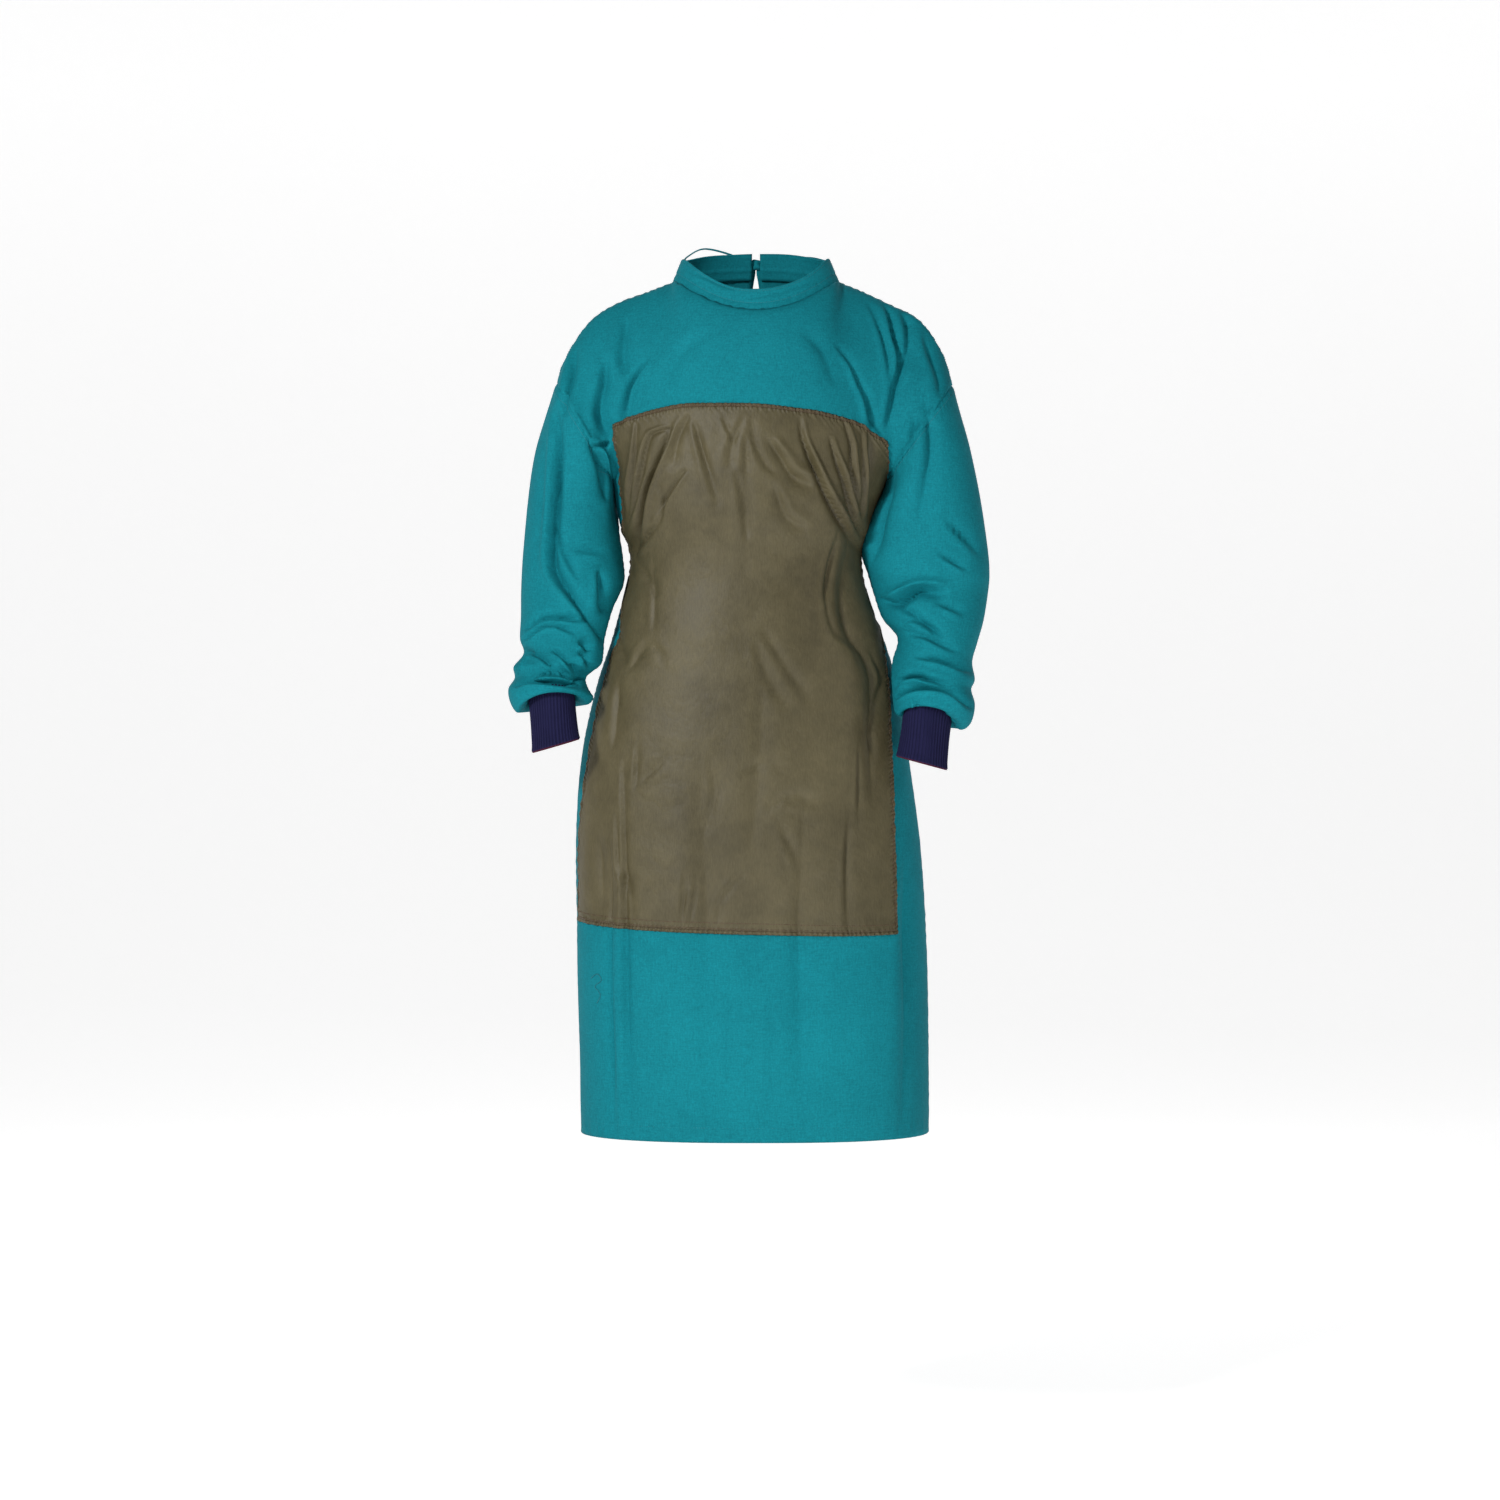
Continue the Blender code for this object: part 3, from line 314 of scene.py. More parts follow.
# The same for the hidden back, seen from the front through the gown
BACK_CREASES = (
    (11, 9.0, 0.4, (-20, -346), (-36, -420), (-44, -640)),
    (10, 9.0, 0.4, (24, -346), (38, -430), (50, -610)),
    (12, 10.0, 0.4, (-52, -345), (-70, -430), (-96, -580)),
    (12, 10.0, 0.4, (56, -345), (74, -430), (102, -600)),
    (11, 7.0, 0.4, (-96, -350), (-124, -430), (-150, -530)),
    (11, 7.0, 0.4, (92, -350), (116, -430), (142, -530)),
    (8, 7.0, 0.5, (-30, -332), (-52, -270), (-84, -200)),
    (8, 6.0, 0.5, (30, -332), (56, -260), (92, -180)),
    (9, 8.0, 0.4, (-74, -330), (-108, -262), (-138, -186)),
    (9, 8.0, 0.4, (66, -330), (98, -258), (134, -176)),
    (7, 5.0, 0.5, (-110, -334), (-140, -280), (-160, -230)),
    (7, 5.0, 0.5, (100, -334), (128, -280), (148, -226)),
    (12, 6.0, 0.3, (-150, -60), (-170, -110), (-166, -170)),
    (12, 7.0, 0.3, (140, -50), (164, -104), (160, -176)),
    (6, 4.0, 0.5, (-186, -100), (-182, -150), (-174, -196)),
    (6, 5.0, 0.5, (186, -96), (182, -150), (170, -200)),
    (22, 7.0, 0.2, (-116, -640), (-130, -820), (-134, -1055)),
    (22, 7.0, 0.2, (118, -640), (132, -820), (136, -1055)),
    (26, 6.0, 0.2, (20, -660), (16, -840), (10, -1055)),
    (24, 5.0, 0.2, (-50, -700), (-44, -860), (-52, -1055)),
    (10, 3.0, 0.4, (70, -700), (76, -860), (74, -1055)),
)
SLEEVE_BACK_CREASES = (
    (8, 6.0, 0.5, (-196, -200), (-214, -260), (-222, -330)),
    (6, 5.0, 0.5, (-262, -330), (-236, -372), (-200, -392)),
    (6, 7.0, 0.6, (-284, -388), (-250, -400), (-206, -398)),
    (5, 6.0, 0.6, (-288, -430), (-256, -436), (-214, -424)),
    (5, 5.0, 0.6, (-280, -464), (-250, -458), (-210, -470)),
    (5, 6.0, 0.5, (-298, -500), (-260, -498), (-216, -504)),
    (8, 6.0, 0.5, (192, -200), (206, -260), (214, -330)),
    (6, 5.0, 0.5, (256, -330), (230, -368), (190, -388)),
    (6, 7.0, 0.6, (278, -392), (240, -402), (180, -396)),
    (5, 6.0, 0.6, (270, -440), (230, -448), (190, -436)),
    (5, 5.0, 0.6, (262, -476), (226, -470), (184, -482)),
    (5, 6.0, 0.5, (266, -520), (226, -514), (182, -520)),
)

# The waist tie and the neck tie: each knot, and the offsets along a loop and a free end
WAIST_KNOT = (0.0, 0.1078, WAIST_Z)
NECK_KNOT = (0.0, 0.0741, 0.030)
WAIST_KNOT_SIZE = (0.026, 0.0150, 0.024)
NECK_KNOT_SIZE = (0.0150, 0.0120, 0.0135)
WAIST_TAPE_WIDTH = 0.020
WAIST_BOW_WIDTH = 0.012
NECK_TAPE_WIDTH = 0.007
TAPE_WALL = 0.0012
FREE_END_WALL = 0.0010
TIE_STAND_OFF = 0.0032
WAIST_LOOP = (
    (-0.0124, 0.000, 0.003),
    (-0.0170, 0.000, 0.003),
    (-0.0330, 0.007, 0.011),
    (-0.0560, 0.010, 0.002),
    (-0.0680, 0.010, -0.020),
    (-0.0600, 0.008, -0.036),
    (-0.0420, 0.004, -0.026),
    (-0.0280, 0.001, -0.014),
    (-0.0170, 0.000, -0.004),
    (-0.0124, 0.000, -0.004),
)
WAIST_END = (
    (-0.0068, 0.0000, -0.0113),
    (-0.0069, 0.0001, -0.0180),
    (-0.0095, 0.0030, -0.0400),
    (-0.0140, 0.0080, -0.090),
    (-0.0170, 0.0145, -0.150),
    (-0.0180, 0.0215, -0.210),
    (-0.0180, 0.0275, -0.270),
)
NECK_LOOP = (
    (-0.0069, 0.000, 0.003),
    (-0.0110, 0.000, 0.003),
    (-0.0350, -0.001, 0.014),
    (-0.0660, -0.004, 0.020),
    (-0.0860, -0.009, 0.010),
    (-0.0900, -0.011, 0.002),
    (-0.0780, -0.006, -0.006),
    (-0.0450, -0.001, -0.008),
    (-0.0110, 0.000, -0.003),
    (-0.0069, 0.000, -0.003),
)
NECK_END = (
    (-0.0042, 0.0015, -0.0063),
    (-0.0043, 0.0018, -0.0110),
    (-0.0060, 0.0055, -0.0200),
    (-0.0078, 0.0105, -0.0330),
    (-0.0095, 0.0175, -0.0600),
    (-0.0108, 0.0240, -0.0900),
    (-0.0118, 0.0300, -0.1250),
    (-0.0120, 0.0335, -0.1500),
)
RIGHT_NECK_DROOP = 0.45


# Reading the tables smoothly
def rows_at(table, values):
    """Read a table by its first column, with a smooth curve through its rows, at many values."""
    table = np.array(table, float)
    keys = table[:, 0]
    columns = table[:, 1:]
    values = np.clip(values, keys[0], keys[-1])
    low = np.clip(np.searchsorted(keys, values, side="right") - 1, 0, len(keys) - 2)
    high = low + 1
    before = np.maximum(low - 1, 0)
    after = np.minimum(high + 1, len(keys) - 1)
    step = (keys[high] - keys[low])[..., None]
    share = (values - keys[low])[..., None] / step
    slope_low = (columns[high] - columns[before]) / (keys[high] - keys[before])[..., None] * step
    slope_high = (columns[after] - columns[low]) / (keys[after] - keys[low])[..., None] * step
    square = share ** 2
    cube = share ** 3
    start = (2 * cube - 3 * square + 1) * columns[low] + (cube - 2 * square + share) * slope_low
    return start + (3 * square - 2 * cube) * columns[high] + (cube - square) * slope_high


def with_index(table):
    last = len(table) - 1
    return [(k / last,) + tuple(row) for k, row in enumerate(table)]


def mix(start, end, share):
    return start + (end - start) * share


def smooth_step(value):
    value = np.clip(value, 0.0, 1.0)
    return value * value * (3 - 2 * value)


def places(x, y, z):
    """Join three arrays of coordinates into one array of places."""
    return np.stack(np.broadcast_arrays(x, y, z), axis=-1)


def unit(vectors):
    return vectors / np.maximum(np.linalg.norm(vectors, axis=-1, keepdims=True), 1e-9)


# The gown's smooth form, before its creases
def ring_places(z, share, side):
    """Places on the body's rings. share runs -1 to 1 from the left seam; side is -1 front, 1 back."""
    left, right, front, back, square = np.moveaxis(rows_at(BODY_RINGS, z), -1, 0)
    angle = share * math.pi / 2
    power = 2.0 / square
    half = np.where(share > 0, right, -left)
    reach = np.sign(share) * np.abs(np.sin(angle)) ** power
    depth = -front if side < 0 else back
    return places(half * reach, side * depth * np.maximum(np.cos(angle), 0) ** power, z)


def shoulder_places(share, side):
    """Places on the neckline and shoulder seams, from one armhole's top to the other's."""
    angle = np.clip(share / NECK_SHARE, -1, 1) * math.pi / 2
    lift = np.cos(angle) ** 2
    if side < 0:
        neck = places(NECK_HALF_WIDTH * np.sin(angle), NECK_FRONT_Y * np.cos(angle),
                      -NECK_FRONT_DROP * lift)
    else:
        neck = places(NECK_HALF_WIDTH * np.sin(angle), NECK_BACK_Y * np.cos(angle),
                      NECK_BACK_RISE * lift)
    out = (np.abs(share) - NECK_SHARE) / (1 - NECK_SHARE)
    left_x, left_z, right_x, right_z = np.moveaxis(rows_at(SHOULDER_LINE, out), -1, 0)
    on_right = share > 0
    seam = places(np.where(on_right, right_x, left_x), 0.0, np.where(on_right, right_z, left_z))
    return np.where((np.abs(share) < NECK_SHARE)[..., None], neck, seam)


SHOULDER_SPREAD = 0.34
SPREAD_STEPS = 11


def soft_shoulder_places(up, share, side):
    """The neckline and shoulders as cloth below them feels them: evened out more, further down."""
    spread = np.minimum(SHOULDER_SPREAD * (1 - up) ** 0.7, 1 - np.abs(share))
    total = 0.0
    weights = 0.0
    for offset in np.linspace(-1, 1, SPREAD_STEPS):
        weight = math.cos(offset * math.pi / 2.2) ** 2
        total = total + weight * shoulder_places(share + spread * offset, side)
        weights += weight
    return total / weights


def armhole_places(up, share, side):
    """Places on the armhole's front or back edge, from the underarm to the shoulder."""
    left = np.array(LEFT_SLEEVE[0])
    right = np.array(RIGHT_SLEEVE[0])
    section = np.where((share > 0)[..., None], right, left)
    outer_x, outer_z, inner_x, inner_z, _, depth = np.moveaxis(section, -1, 0)
    angle = up * math.pi
    along = (1 - np.cos(angle)) / 2
    return places(mix(inner_x, outer_x, along), side * depth * np.sin(angle),
                  mix(inner_z, outer_z, along))


def yoke_places(up, share, side):
    """Places above the underarm: a patch between ring, armholes, shoulders and neckline."""
    low = ring_places(np.full_like(up, UNDERARM_Z), share, side)
    top = soft_shoulder_places(up, share, side)
    round_over = 0.5 * up ** 2.2 + 0.5 * (1 - np.sqrt(np.maximum(0.0, 1 - up * up)))
    over = np.stack((up, round_over, up), axis=-1)
    edge = np.where(share > 0, 1.0, -1.0)
    edge_low = ring_places(np.full_like(up, UNDERARM_Z), edge, side)
    edge_top = shoulder_places(edge, side)
    plain = mix(edge_low, edge_top, up[..., None])
    plain[..., 1] = 0
    pull = armhole_places(up, edge, side) - plain
    return mix(low, top, over) + pull * (np.abs(share) ** 5)[..., None]


def body_places(height, share, side):
    """height runs 0 to 1 from hem to underarm and 1 to 2 from underarm to shoulder."""
    z = mix(HEM_Z, UNDERARM_Z, np.clip(height, 0, 1))
    low = ring_places(z, share, side)
    high = yoke_places(np.clip(height - 1, 0, 1), share, side)
    return np.where((height <= 1)[..., None], low, high)


def sleeve_places(along, turn, side):
    """Places on a sleeve. turn runs round it from the outside, by the front, to the inside."""
    section = rows_at(with_index(SLEEVES[side]), along)
    return tube_places(section, turn)


def beside_body(grid, along):
    """Push a sleeve's places out of the body, so that its inner side lies against the gown."""
    x, y, z = np.moveaxis(grid, -1, 0)
    left, right, front, back, square = np.moveaxis(rows_at(BODY_RINGS, z), -1, 0)
    half = np.where(x > 0, right, -left) + SLEEVE_CLEARANCE
    depth = np.where(y < 0, -front, back) + SLEEVE_CLEARANCE
    size = (np.abs(x / half) ** square + np.abs(y / depth) ** square) ** (1 / square)
    below = smooth_step(along / 0.05)
    push = 1 + np.maximum(1 / np.maximum(size, 0.2) - 1, 0) * below
    return np.stack((x * push, mix(y, y * push, 0.5), z), axis=-1)


def tube_places(section, turn):
    outer_x, outer_z, inner_x, inner_z, centre_y, depth = np.moveaxis(section, -1, 0)
    angle = turn * 2 * math.pi
    across = np.cos(angle)
    return places((outer_x + inner_x) / 2 + (outer_x - inner_x) / 2 * across,
                  centre_y - depth * np.sin(angle),
                  (outer_z + inner_z) / 2 + (outer_z - inner_z) / 2 * across)


COLLAR_GAP = 0.0003
COLLAR_LOWER_IN_FRONT = 0.08


def collar_places(angle, up):
    """Places on the collar. angle is 0 at the centre front and runs round to the back."""
    front = np.cos(angle)
    depth = np.where(front > 0, -NECK_FRONT_Y, NECK_BACK_Y)
    lift = np.where(front > 0, -NECK_FRONT_DROP, NECK_BACK_RISE) * front * front
    lean = 1 - up * COLLAR_LEAN / NECK_HALF_WIDTH
    return places(NECK_HALF_WIDTH * np.sin(angle) * lean, -depth * front * lean,
                  lift + COLLAR_GAP + up * COLLAR_HEIGHT * (1 - COLLAR_LOWER_IN_FRONT * front))


def back_overlap(height):
    return rows_at(BACK_OVERLAP, height)[..., 0]


def height_of(z):
    """The height share, 0 at the hem and 1 at the underarm, of a level."""
    return (z - HEM_Z) / BODY_LENGTH


# Creases, laid on the cloth as they are seen from the front
def seen_from_front(grid):
    """x and z of places as the camera sees them in the plane of y = 0, in millimetres."""
    near = CAMERA_DISTANCE / (CAMERA_DISTANCE + grid[..., 1])
    x = PICTURE_CENTRE[0] + (grid[..., 0] - PICTURE_CENTRE[0]) * near
    z = PICTURE_CENTRE[1] + (grid[..., 2] - PICTURE_CENTRE[1]) * near
    return np.stack((x, z), axis=-1) / MM


BODY_GAIN = 1.45
SLEEVE_GAIN = 2.0
CREASE_WIDTH = 0.84
CREASE_REACH = 5
TAPERING_ENDS = 0.28
STEEP_SIDE = 0.6
EASY_SIDE = 1.3
CREST_AT = 1.5
CREST_WIDTH = 0.8
CREST_SHARE = 0.6


def smooth_line(line, steps=6):
    """A smooth curve through a crease's points, by rows_at."""
    table = with_index(line)
    return rows_at(table, np.linspace(0, 1, (len(line) - 1) * steps + 1))


def beside_line(spots, line):
    """Where spots are beside a line: distance to its right, share along it, how far past its ends."""
    lengths = np.linalg.norm(np.diff(line, axis=0), axis=1)
    run = np.concatenate(([0], np.cumsum(lengths)))
    best = np.full(len(spots), np.inf)
    signed = np.zeros(len(spots))
    along = np.zeros(len(spots))
    beyond = np.zeros(len(spots))
    for k in range(len(line) - 1):
        way = line[k + 1] - line[k]
        off = spots - line[k]
        share = off @ way / (way @ way)
        inside = np.clip(share, 0, 1)
        distance = np.linalg.norm(off - inside[:, None] * way, axis=1)
        closer = distance < best
        best = np.where(closer, distance, best)
        side = np.sign(way[0] * off[:, 1] - way[1] * off[:, 0])
        signed = np.where(closer, -side * distance, signed)
        along = np.where(closer, run[k] + inside * lengths[k], along)
        beyond = np.where(closer, np.abs(share - inside) * lengths[k], beyond)
    return signed, along / run[-1], beyond


def crease_profile(half_width, ridge, signed, share, beyond):
    """A crease's valley and the crest beside it, tapering to its ends, for a depth of 1."""
    taper = np.minimum(1, np.minimum(share, 1 - share) / TAPERING_ENDS) ** 0.7 * 0.85 + 0.15
    taper = taper * np.exp(-(beyond / half_width) ** 2)
    swell = 1 + 0.15 * np.sin(share * 7.3 + half_width)
    wide = half_width * (0.75 + 0.5 * share)
    slope = np.where(signed * ridge > 0, STEEP_SIDE, EASY_SIDE) * wide
    sharp = np.exp(-np.abs(signed) / (0.55 * slope))
    valley = 0.4 * np.exp(-(signed / slope) ** 2) + 0.6 * sharp
    crest = np.exp(-((signed - np.sign(ridge) * CREST_AT * wide) / (CREST_WIDTH * wide)) ** 2)
    return (valley - abs(ridge) * CREST_SHARE * crest) * taper * swell


def crease_depth(seen, creases, gain):
    """How deep the creases press the cloth in, in metres, at places seen as x, z in millimetres."""
    total = np.zeros(seen.shape[:-1])
    for half_width, deep, ridge, *points in creases:
        half_width *= CREASE_WIDTH
        line = smooth_line(points)
        margin = half_width * CREASE_REACH
        low = line.min(axis=0) - margin
        high = line.max(axis=0) + margin
        near = np.all((seen > low) & (seen < high), axis=-1)
        if near.any():
            beside = beside_line(seen[near], line)
            total[near] += crease_profile(half_width, ridge, *beside) * deep
    return total * gain * MM


# Columns: radians a metre along x, along z, starting phase, height in millimetres
SLOW_WAVES = (
    (21.0, 7.0, 0.4, 0.55),
    (-13.0, 17.0, 1.9, 0.45),
    (37.0, -11.0, 4.1, 0.28),
    (9.0, 29.0, 2.6, 0.30),
    (-31.0, -23.0, 5.2, 0.20),
    (53.0, 19.0, 0.9, 0.13),
    (-47.0, 41.0, 3.3, 0.11),
)


def unevenness(seen):
    """Slow small waves of cloth that is never quite flat, in metres."""
    total = np.zeros(seen.shape[:-1])
    for along_x, along_z, phase, height in SLOW_WAVES:
        turn = (seen[..., 0] * along_x + seen[..., 1] * along_z) * MM
        total += height * np.sin(turn + phase + 0.8 * np.sin(turn * 0.37 + phase * 2))
    return total * MM


# Making pieces
def link(name, mesh, body="root"):
    piece = bpy.data.objects.new(name, mesh)
    bpy.context.scene.collection.objects.link(piece)
    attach(piece, body)
    return piece


def set_wall(piece, wall, offset=-1):
    """Give a surface its cloth's thickness: inwards from the outside, or half each way for 0."""
    solid = piece.modifiers.new("wall", "SOLIDIFY")
    solid.thickness = wall
    solid.offset = offset
    solid.use_even_offset = False
    solid.use_rim = True


def lay(name, mesh, wall, node, offset=-1):
    """Make a surface a piece of cloth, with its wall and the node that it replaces."""
    piece = link(name, mesh)
    set_wall(piece, wall, offset)
    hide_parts(node)
    return piece


def sheet_mesh(name, grid, wraps, outwards):
    """A mesh grid laid on an array of places, with its UV in metres of cloth."""
    rows, columns = grid.shape[:2]
    shape = bmesh.new()
    layer = shape.loops.layers.uv.new("cloth")
    bmesh.ops.create_grid(shape, x_segments=columns - 1, y_segments=rows - 1, size=0.5)
    across = np.linalg.norm(np.diff(grid, axis=1), axis=-1).mean(axis=0)
    up = np.linalg.norm(np.diff(grid, axis=0), axis=-1).mean(axis=1)
    u = np.concatenate(([0], np.cumsum(across)))
    v = np.concatenate(([0], np.cumsum(up)))

    def cell(vert):
        return round((vert.co.x + 0.5) * (columns - 1)), round((vert.co.y + 0.5) * (rows - 1))

    for face in shape.faces:
        for loop in face.loops:
            i, j = cell(loop.vert)
            loop[layer].uv = (u[i], v[j])
    for vert in shape.verts:
        i, j = cell(vert)
        vert.co = grid[j, i]
    if wraps:
        bmesh.ops.remove_doubles(shape, verts=shape.verts, dist=1e-6)
    bmesh.ops.recalc_face_normals(shape, faces=shape.faces)
    shape.faces.ensure_lookup_table()
    facing = 0.0
    for face in shape.faces:
        facing += face.normal.dot(outwards(face.calc_center_median())) * face.calc_area()
    if facing < 0:
        bmesh.ops.reverse_faces(shape, faces=shape.faces)
    for face in shape.faces:
        face.smooth = True
    mesh = bpy.data.meshes.new(name)
    shape.to_mesh(mesh)
    shape.free()
    return mesh


DEPTH_WEIGHT = 1.5


def from_axis(place):
    """The way out from the gown's middle line."""
    return Vector((place.x, place.y * DEPTH_WEIGHT, 0.0))


def ways_from_axis(grid):
    """The level ways out from the gown's middle line, at many places."""
    return unit(places(grid[..., 0], grid[..., 1] * DEPTH_WEIGHT, 0.0))


def away_from(line):
    """The way out from a tube's middle line, given as places from top to bottom."""
    spots = [Vector(place) for place in line]

    def way(place):
        nearest = min(spots, key=lambda spot: (spot - place).length_squared)
        return place - nearest

    return way


# Where the panel's edges are, for the panel itself and for the cloth under and round it
PANEL_BOTTOM = height_of(PANEL_BOTTOM_Z)
PANEL_HIGHEST = 1.50
PANEL_WIDEST = 0.97
TRACE_ROWS = 260
TRACE_COLUMNS = 321


def line_at(line, values):
    return rows_at(line, values)[..., 0]


def trace_panel():
    """Find the panel's edges in heights and shares from the lines seen in the photograph.

    Returns tables of share and top height, and of height, left share and right share.
    """
    heights = np.linspace(PANEL_BOTTOM - 0.02, PANEL_HIGHEST + 0.1, TRACE_ROWS)
    shares = np.linspace(-1, 1, TRACE_COLUMNS)
    height, share = np.meshgrid(heights, shares, indexing="ij")
    seen = seen_from_front(body_places(height, share, -1))
    above = seen[..., 1] - line_at(PANEL_TOP_LINE, seen[..., 0])
    tops = []
    for column in range(0, len(shares), 4):
        over = above[:, column]
        first = int(np.argmax(over > 0)) if (over > 0).any() else len(heights) - 1
        first = max(first, 1)
        part = np.clip(over[first - 1] / (over[first - 1] - over[first]), 0, 1)
        tops.append((shares[column], mix(heights[first - 1], heights[first], part)))
    sides = []
    for row in range(0, len(heights), 6):
        found = [heights[row]]
        for line, side in ((PANEL_LEFT_LINE, -1), (PANEL_RIGHT_LINE, 1)):
            past = (seen[row, :, 0] - line_at(line, seen[row, :, 1])) * side
            order = np.argsort(shares * side)
            inside = np.interp(0.0, np.maximum.accumulate(past[order]), shares[order] * side)
            found.append(side * min(inside, PANEL_WIDEST))
        sides.append(tuple(found))
    return tops, sides


PANEL_TOPS, PANEL_SIDES = trace_panel()


def panel_edges(height):
    left, right = np.moveaxis(rows_at(PANEL_SIDES, height), -1, 0)
    return left, right


def panel_top(share):
    return rows_at(PANEL_TOPS, share)[..., 0]


def panel_foot(share):
    return PANEL_BOTTOM + line_at(PANEL_FOOT, share) / BODY_LENGTH


def half_girth(height):
    """About how many metres of cloth one unit of share is, at a height."""
    return np.where(height < 1, HALF_GIRTH, HALF_GIRTH_ABOVE)


def panel_inset(height, share):
    """How far a place on the front is inside the panel's nearest edge, in metres."""
    left, right = panel_edges(height)
    wide = half_girth(height)
    low = (height - panel_foot(share)) * BODY_LENGTH
    high = (panel_top(share) - height) * SHARE_METRES
    return np.minimum(np.minimum((share - left) * wide, (right - share) * wide),
                      np.minimum(low, high))


PANEL_TOP_GUESS = 1.36


def panel_share(up, across):
    """Heights and shares of places on the panel, given as shares up it and across it."""
    height = mix(PANEL_BOTTOM, PANEL_TOP_GUESS, up)
    for _ in range(6):
        left, right = panel_edges(height)
        share = mix(left, right, across)
        height = mix(panel_foot(share), panel_top(share), up)
    return height, share


def seam_puckers(inset, run, reach, height):
    """Small gathers beside a row of stitches: run is the distance along the seam."""
    wave = np.sin(run * 610 + 1.7 * np.sin(run * 97)) + 0.5 * np.sin(run * 980 + 2.1 * np.sin(run * 61))
    return height * wave * np.exp(-(inset / reach) ** 2)


TURNED_AWAY = 0.02
TURN_RANGE = 0.42


def cloth_relief(grid, normals):
    """How far the creases move each place along its normal: by the front's or the back's creases."""
    seen = seen_from_front(grid)
    to_front = smooth_step((-normals[..., 1] + TURNED_AWAY) / TURN_RANGE)
    to_back = smooth_step((normals[..., 1] + TURNED_AWAY) / TURN_RANGE)
    front = (crease_depth(seen, FRONT_CREASES, BODY_GAIN)
             + crease_depth(seen, SLEEVE_CREASES, SLEEVE_GAIN))
    back = (crease_depth(seen, BACK_CREASES, BODY_GAIN)
            + crease_depth(seen, SLEEVE_BACK_CREASES, SLEEVE_GAIN))
    return -(front * to_front + back * to_back) + unevenness(seen)


# The surfaces that show: the smooth form, moved along its normals by creases, seams and hems
# A sleeve's end rises at the front, by this much on each side, fading this far up the sleeve
END_ARCH = {-1: 0.028, 1: 0.021}
ARCH_REACH = 0.10

# In metres of cloth: where relief fades, where stitches lie, how far the front dips under the
# panel, how the back's free edge curls
SIDE_FADE = 0.012
TOP_FADE = 0.014
HEM_DEPTH = 0.018
STITCH_INSET = 0.0048
BACK_STITCH_INSET = 0.010
TURNED_UNDER = 0.0075
UNDER_PANEL = 0.0042
EDGE_CURL = 0.0016
CURL_REACH = 0.014
CUFF_SEAM_FADE = 0.016

# Grooves of the sewn lines: half width, depth
SEAM_GROOVE = (0.0024, 0.0009)
HEM_GROOVE = (0.0015, 0.0005)
PANEL_GROOVE = (0.0016, 0.0007)
BACK_GROOVE = (0.0016, 0.0005)
ARMHOLE_GROOVE = (0.003, 0.0008)
COLLAR_GROOVE = (0.0018, 0.0010)
COLLAR_TOP_GROOVE = (0.0012, 0.0005)

# Puckers along the sewn lines: how far they reach from the line, height
SIDE_PUCKERS = (0.009, 0.0004)
TOP_PUCKERS = (0.010, 0.0005)
HEM_PUCKERS = (0.011, 0.00035)
ROUND_PANEL_PUCKERS = (0.012, 0.0005)
PANEL_PUCKERS = (0.012, 0.0008)
BACK_PUCKERS = (0.012, 0.0004)
UNDERARM_PUCKERS = (0.007, 0.0003)
ARMHOLE_PUCKERS = (0.012, 0.0005)
COLLAR_PUCKERS = (0.006, 0.0003)

# Gathers of a sleeve at its cuff: distance from the cuff, reach up the sleeve, height
FINE_GATHERS = (0.004, 0.011, 0.0020)
BROAD_GATHERS = (0.016, 0.014, 0.0012)


def body_normals(height, share, side):
    step = 0.002
    across = (body_places(height, np.minimum(share + step, 1), side)
              - body_places(height, np.maximum(share - step, -1), side))
    up = (body_places(np.minimum(height + step, 2), share, side)
          - body_places(np.maximum(height - step, 0), share, side))
    return unit(np.cross(across, up)) * -side


def groove(distance, half_width, depth):
    return -depth * np.exp(-(distance / half_width) ** 2)


def body_relief(grid, normals, height, share):
    """Creases that die away at the side seams and the neckline, and the sewn seams themselves."""
    from_side = (1 - np.abs(share)) * SHARE_METRES
    from_top = np.maximum(2 - height, 0) * YOKE_METRES
    below = smooth_step((1.12 - height) / 0.12)
    side_fade = mix(1.0, smooth_step(from_side / SIDE_FADE), below)
    top_fade = smooth_step(from_top / TOP_FADE)
    relief = cloth_relief(grid, normals) * side_fade * top_fade
    run = grid[..., 2] + grid[..., 0] * 0.6
    relief += groove(from_side, *SEAM_GROOVE) + seam_puckers(from_side, run, *SIDE_PUCKERS)
    on_shoulder = smooth_step((np.abs(share) - NECK_SHARE + 0.02) / 0.02)
    relief += groove(from_top, *SEAM_GROOVE) * on_shoulder
    relief += seam_puckers(from_top, grid[..., 0] + grid[..., 1], *TOP_PUCKERS)
    from_hem = height * BODY_LENGTH
    relief += groove(from_hem - HEM_DEPTH, *HEM_GROOVE)
    relief += seam_puckers(from_hem - HEM_DEPTH * 0.6, grid[..., 0], *HEM_PUCKERS)
    return relief


def creased_body(height, share, side):
    """The body's smooth places, the ways out of them, and how far creases and seams move them."""
    grid = body_places(height, share, side)
    normals = body_normals(height, share, side)
    return grid, normals, body_relief(grid, normals, height, share)


def front_places(height, share):
    """The front: it is puckered round the panel and dips under it."""
    grid, normals, relief = creased_body(height, share, -1)
    inset = panel_inset(height, share)
    run = grid[..., 2] + grid[..., 0] * 1.3
    relief += seam_puckers(inset, run, *ROUND_PANEL_PUCKERS) * smooth_step((inset + 0.02) / 0.01)
    relief -= UNDER_PANEL * smooth_step((inset - 0.002) / 0.004)
    return grid + normals * relief[..., None]


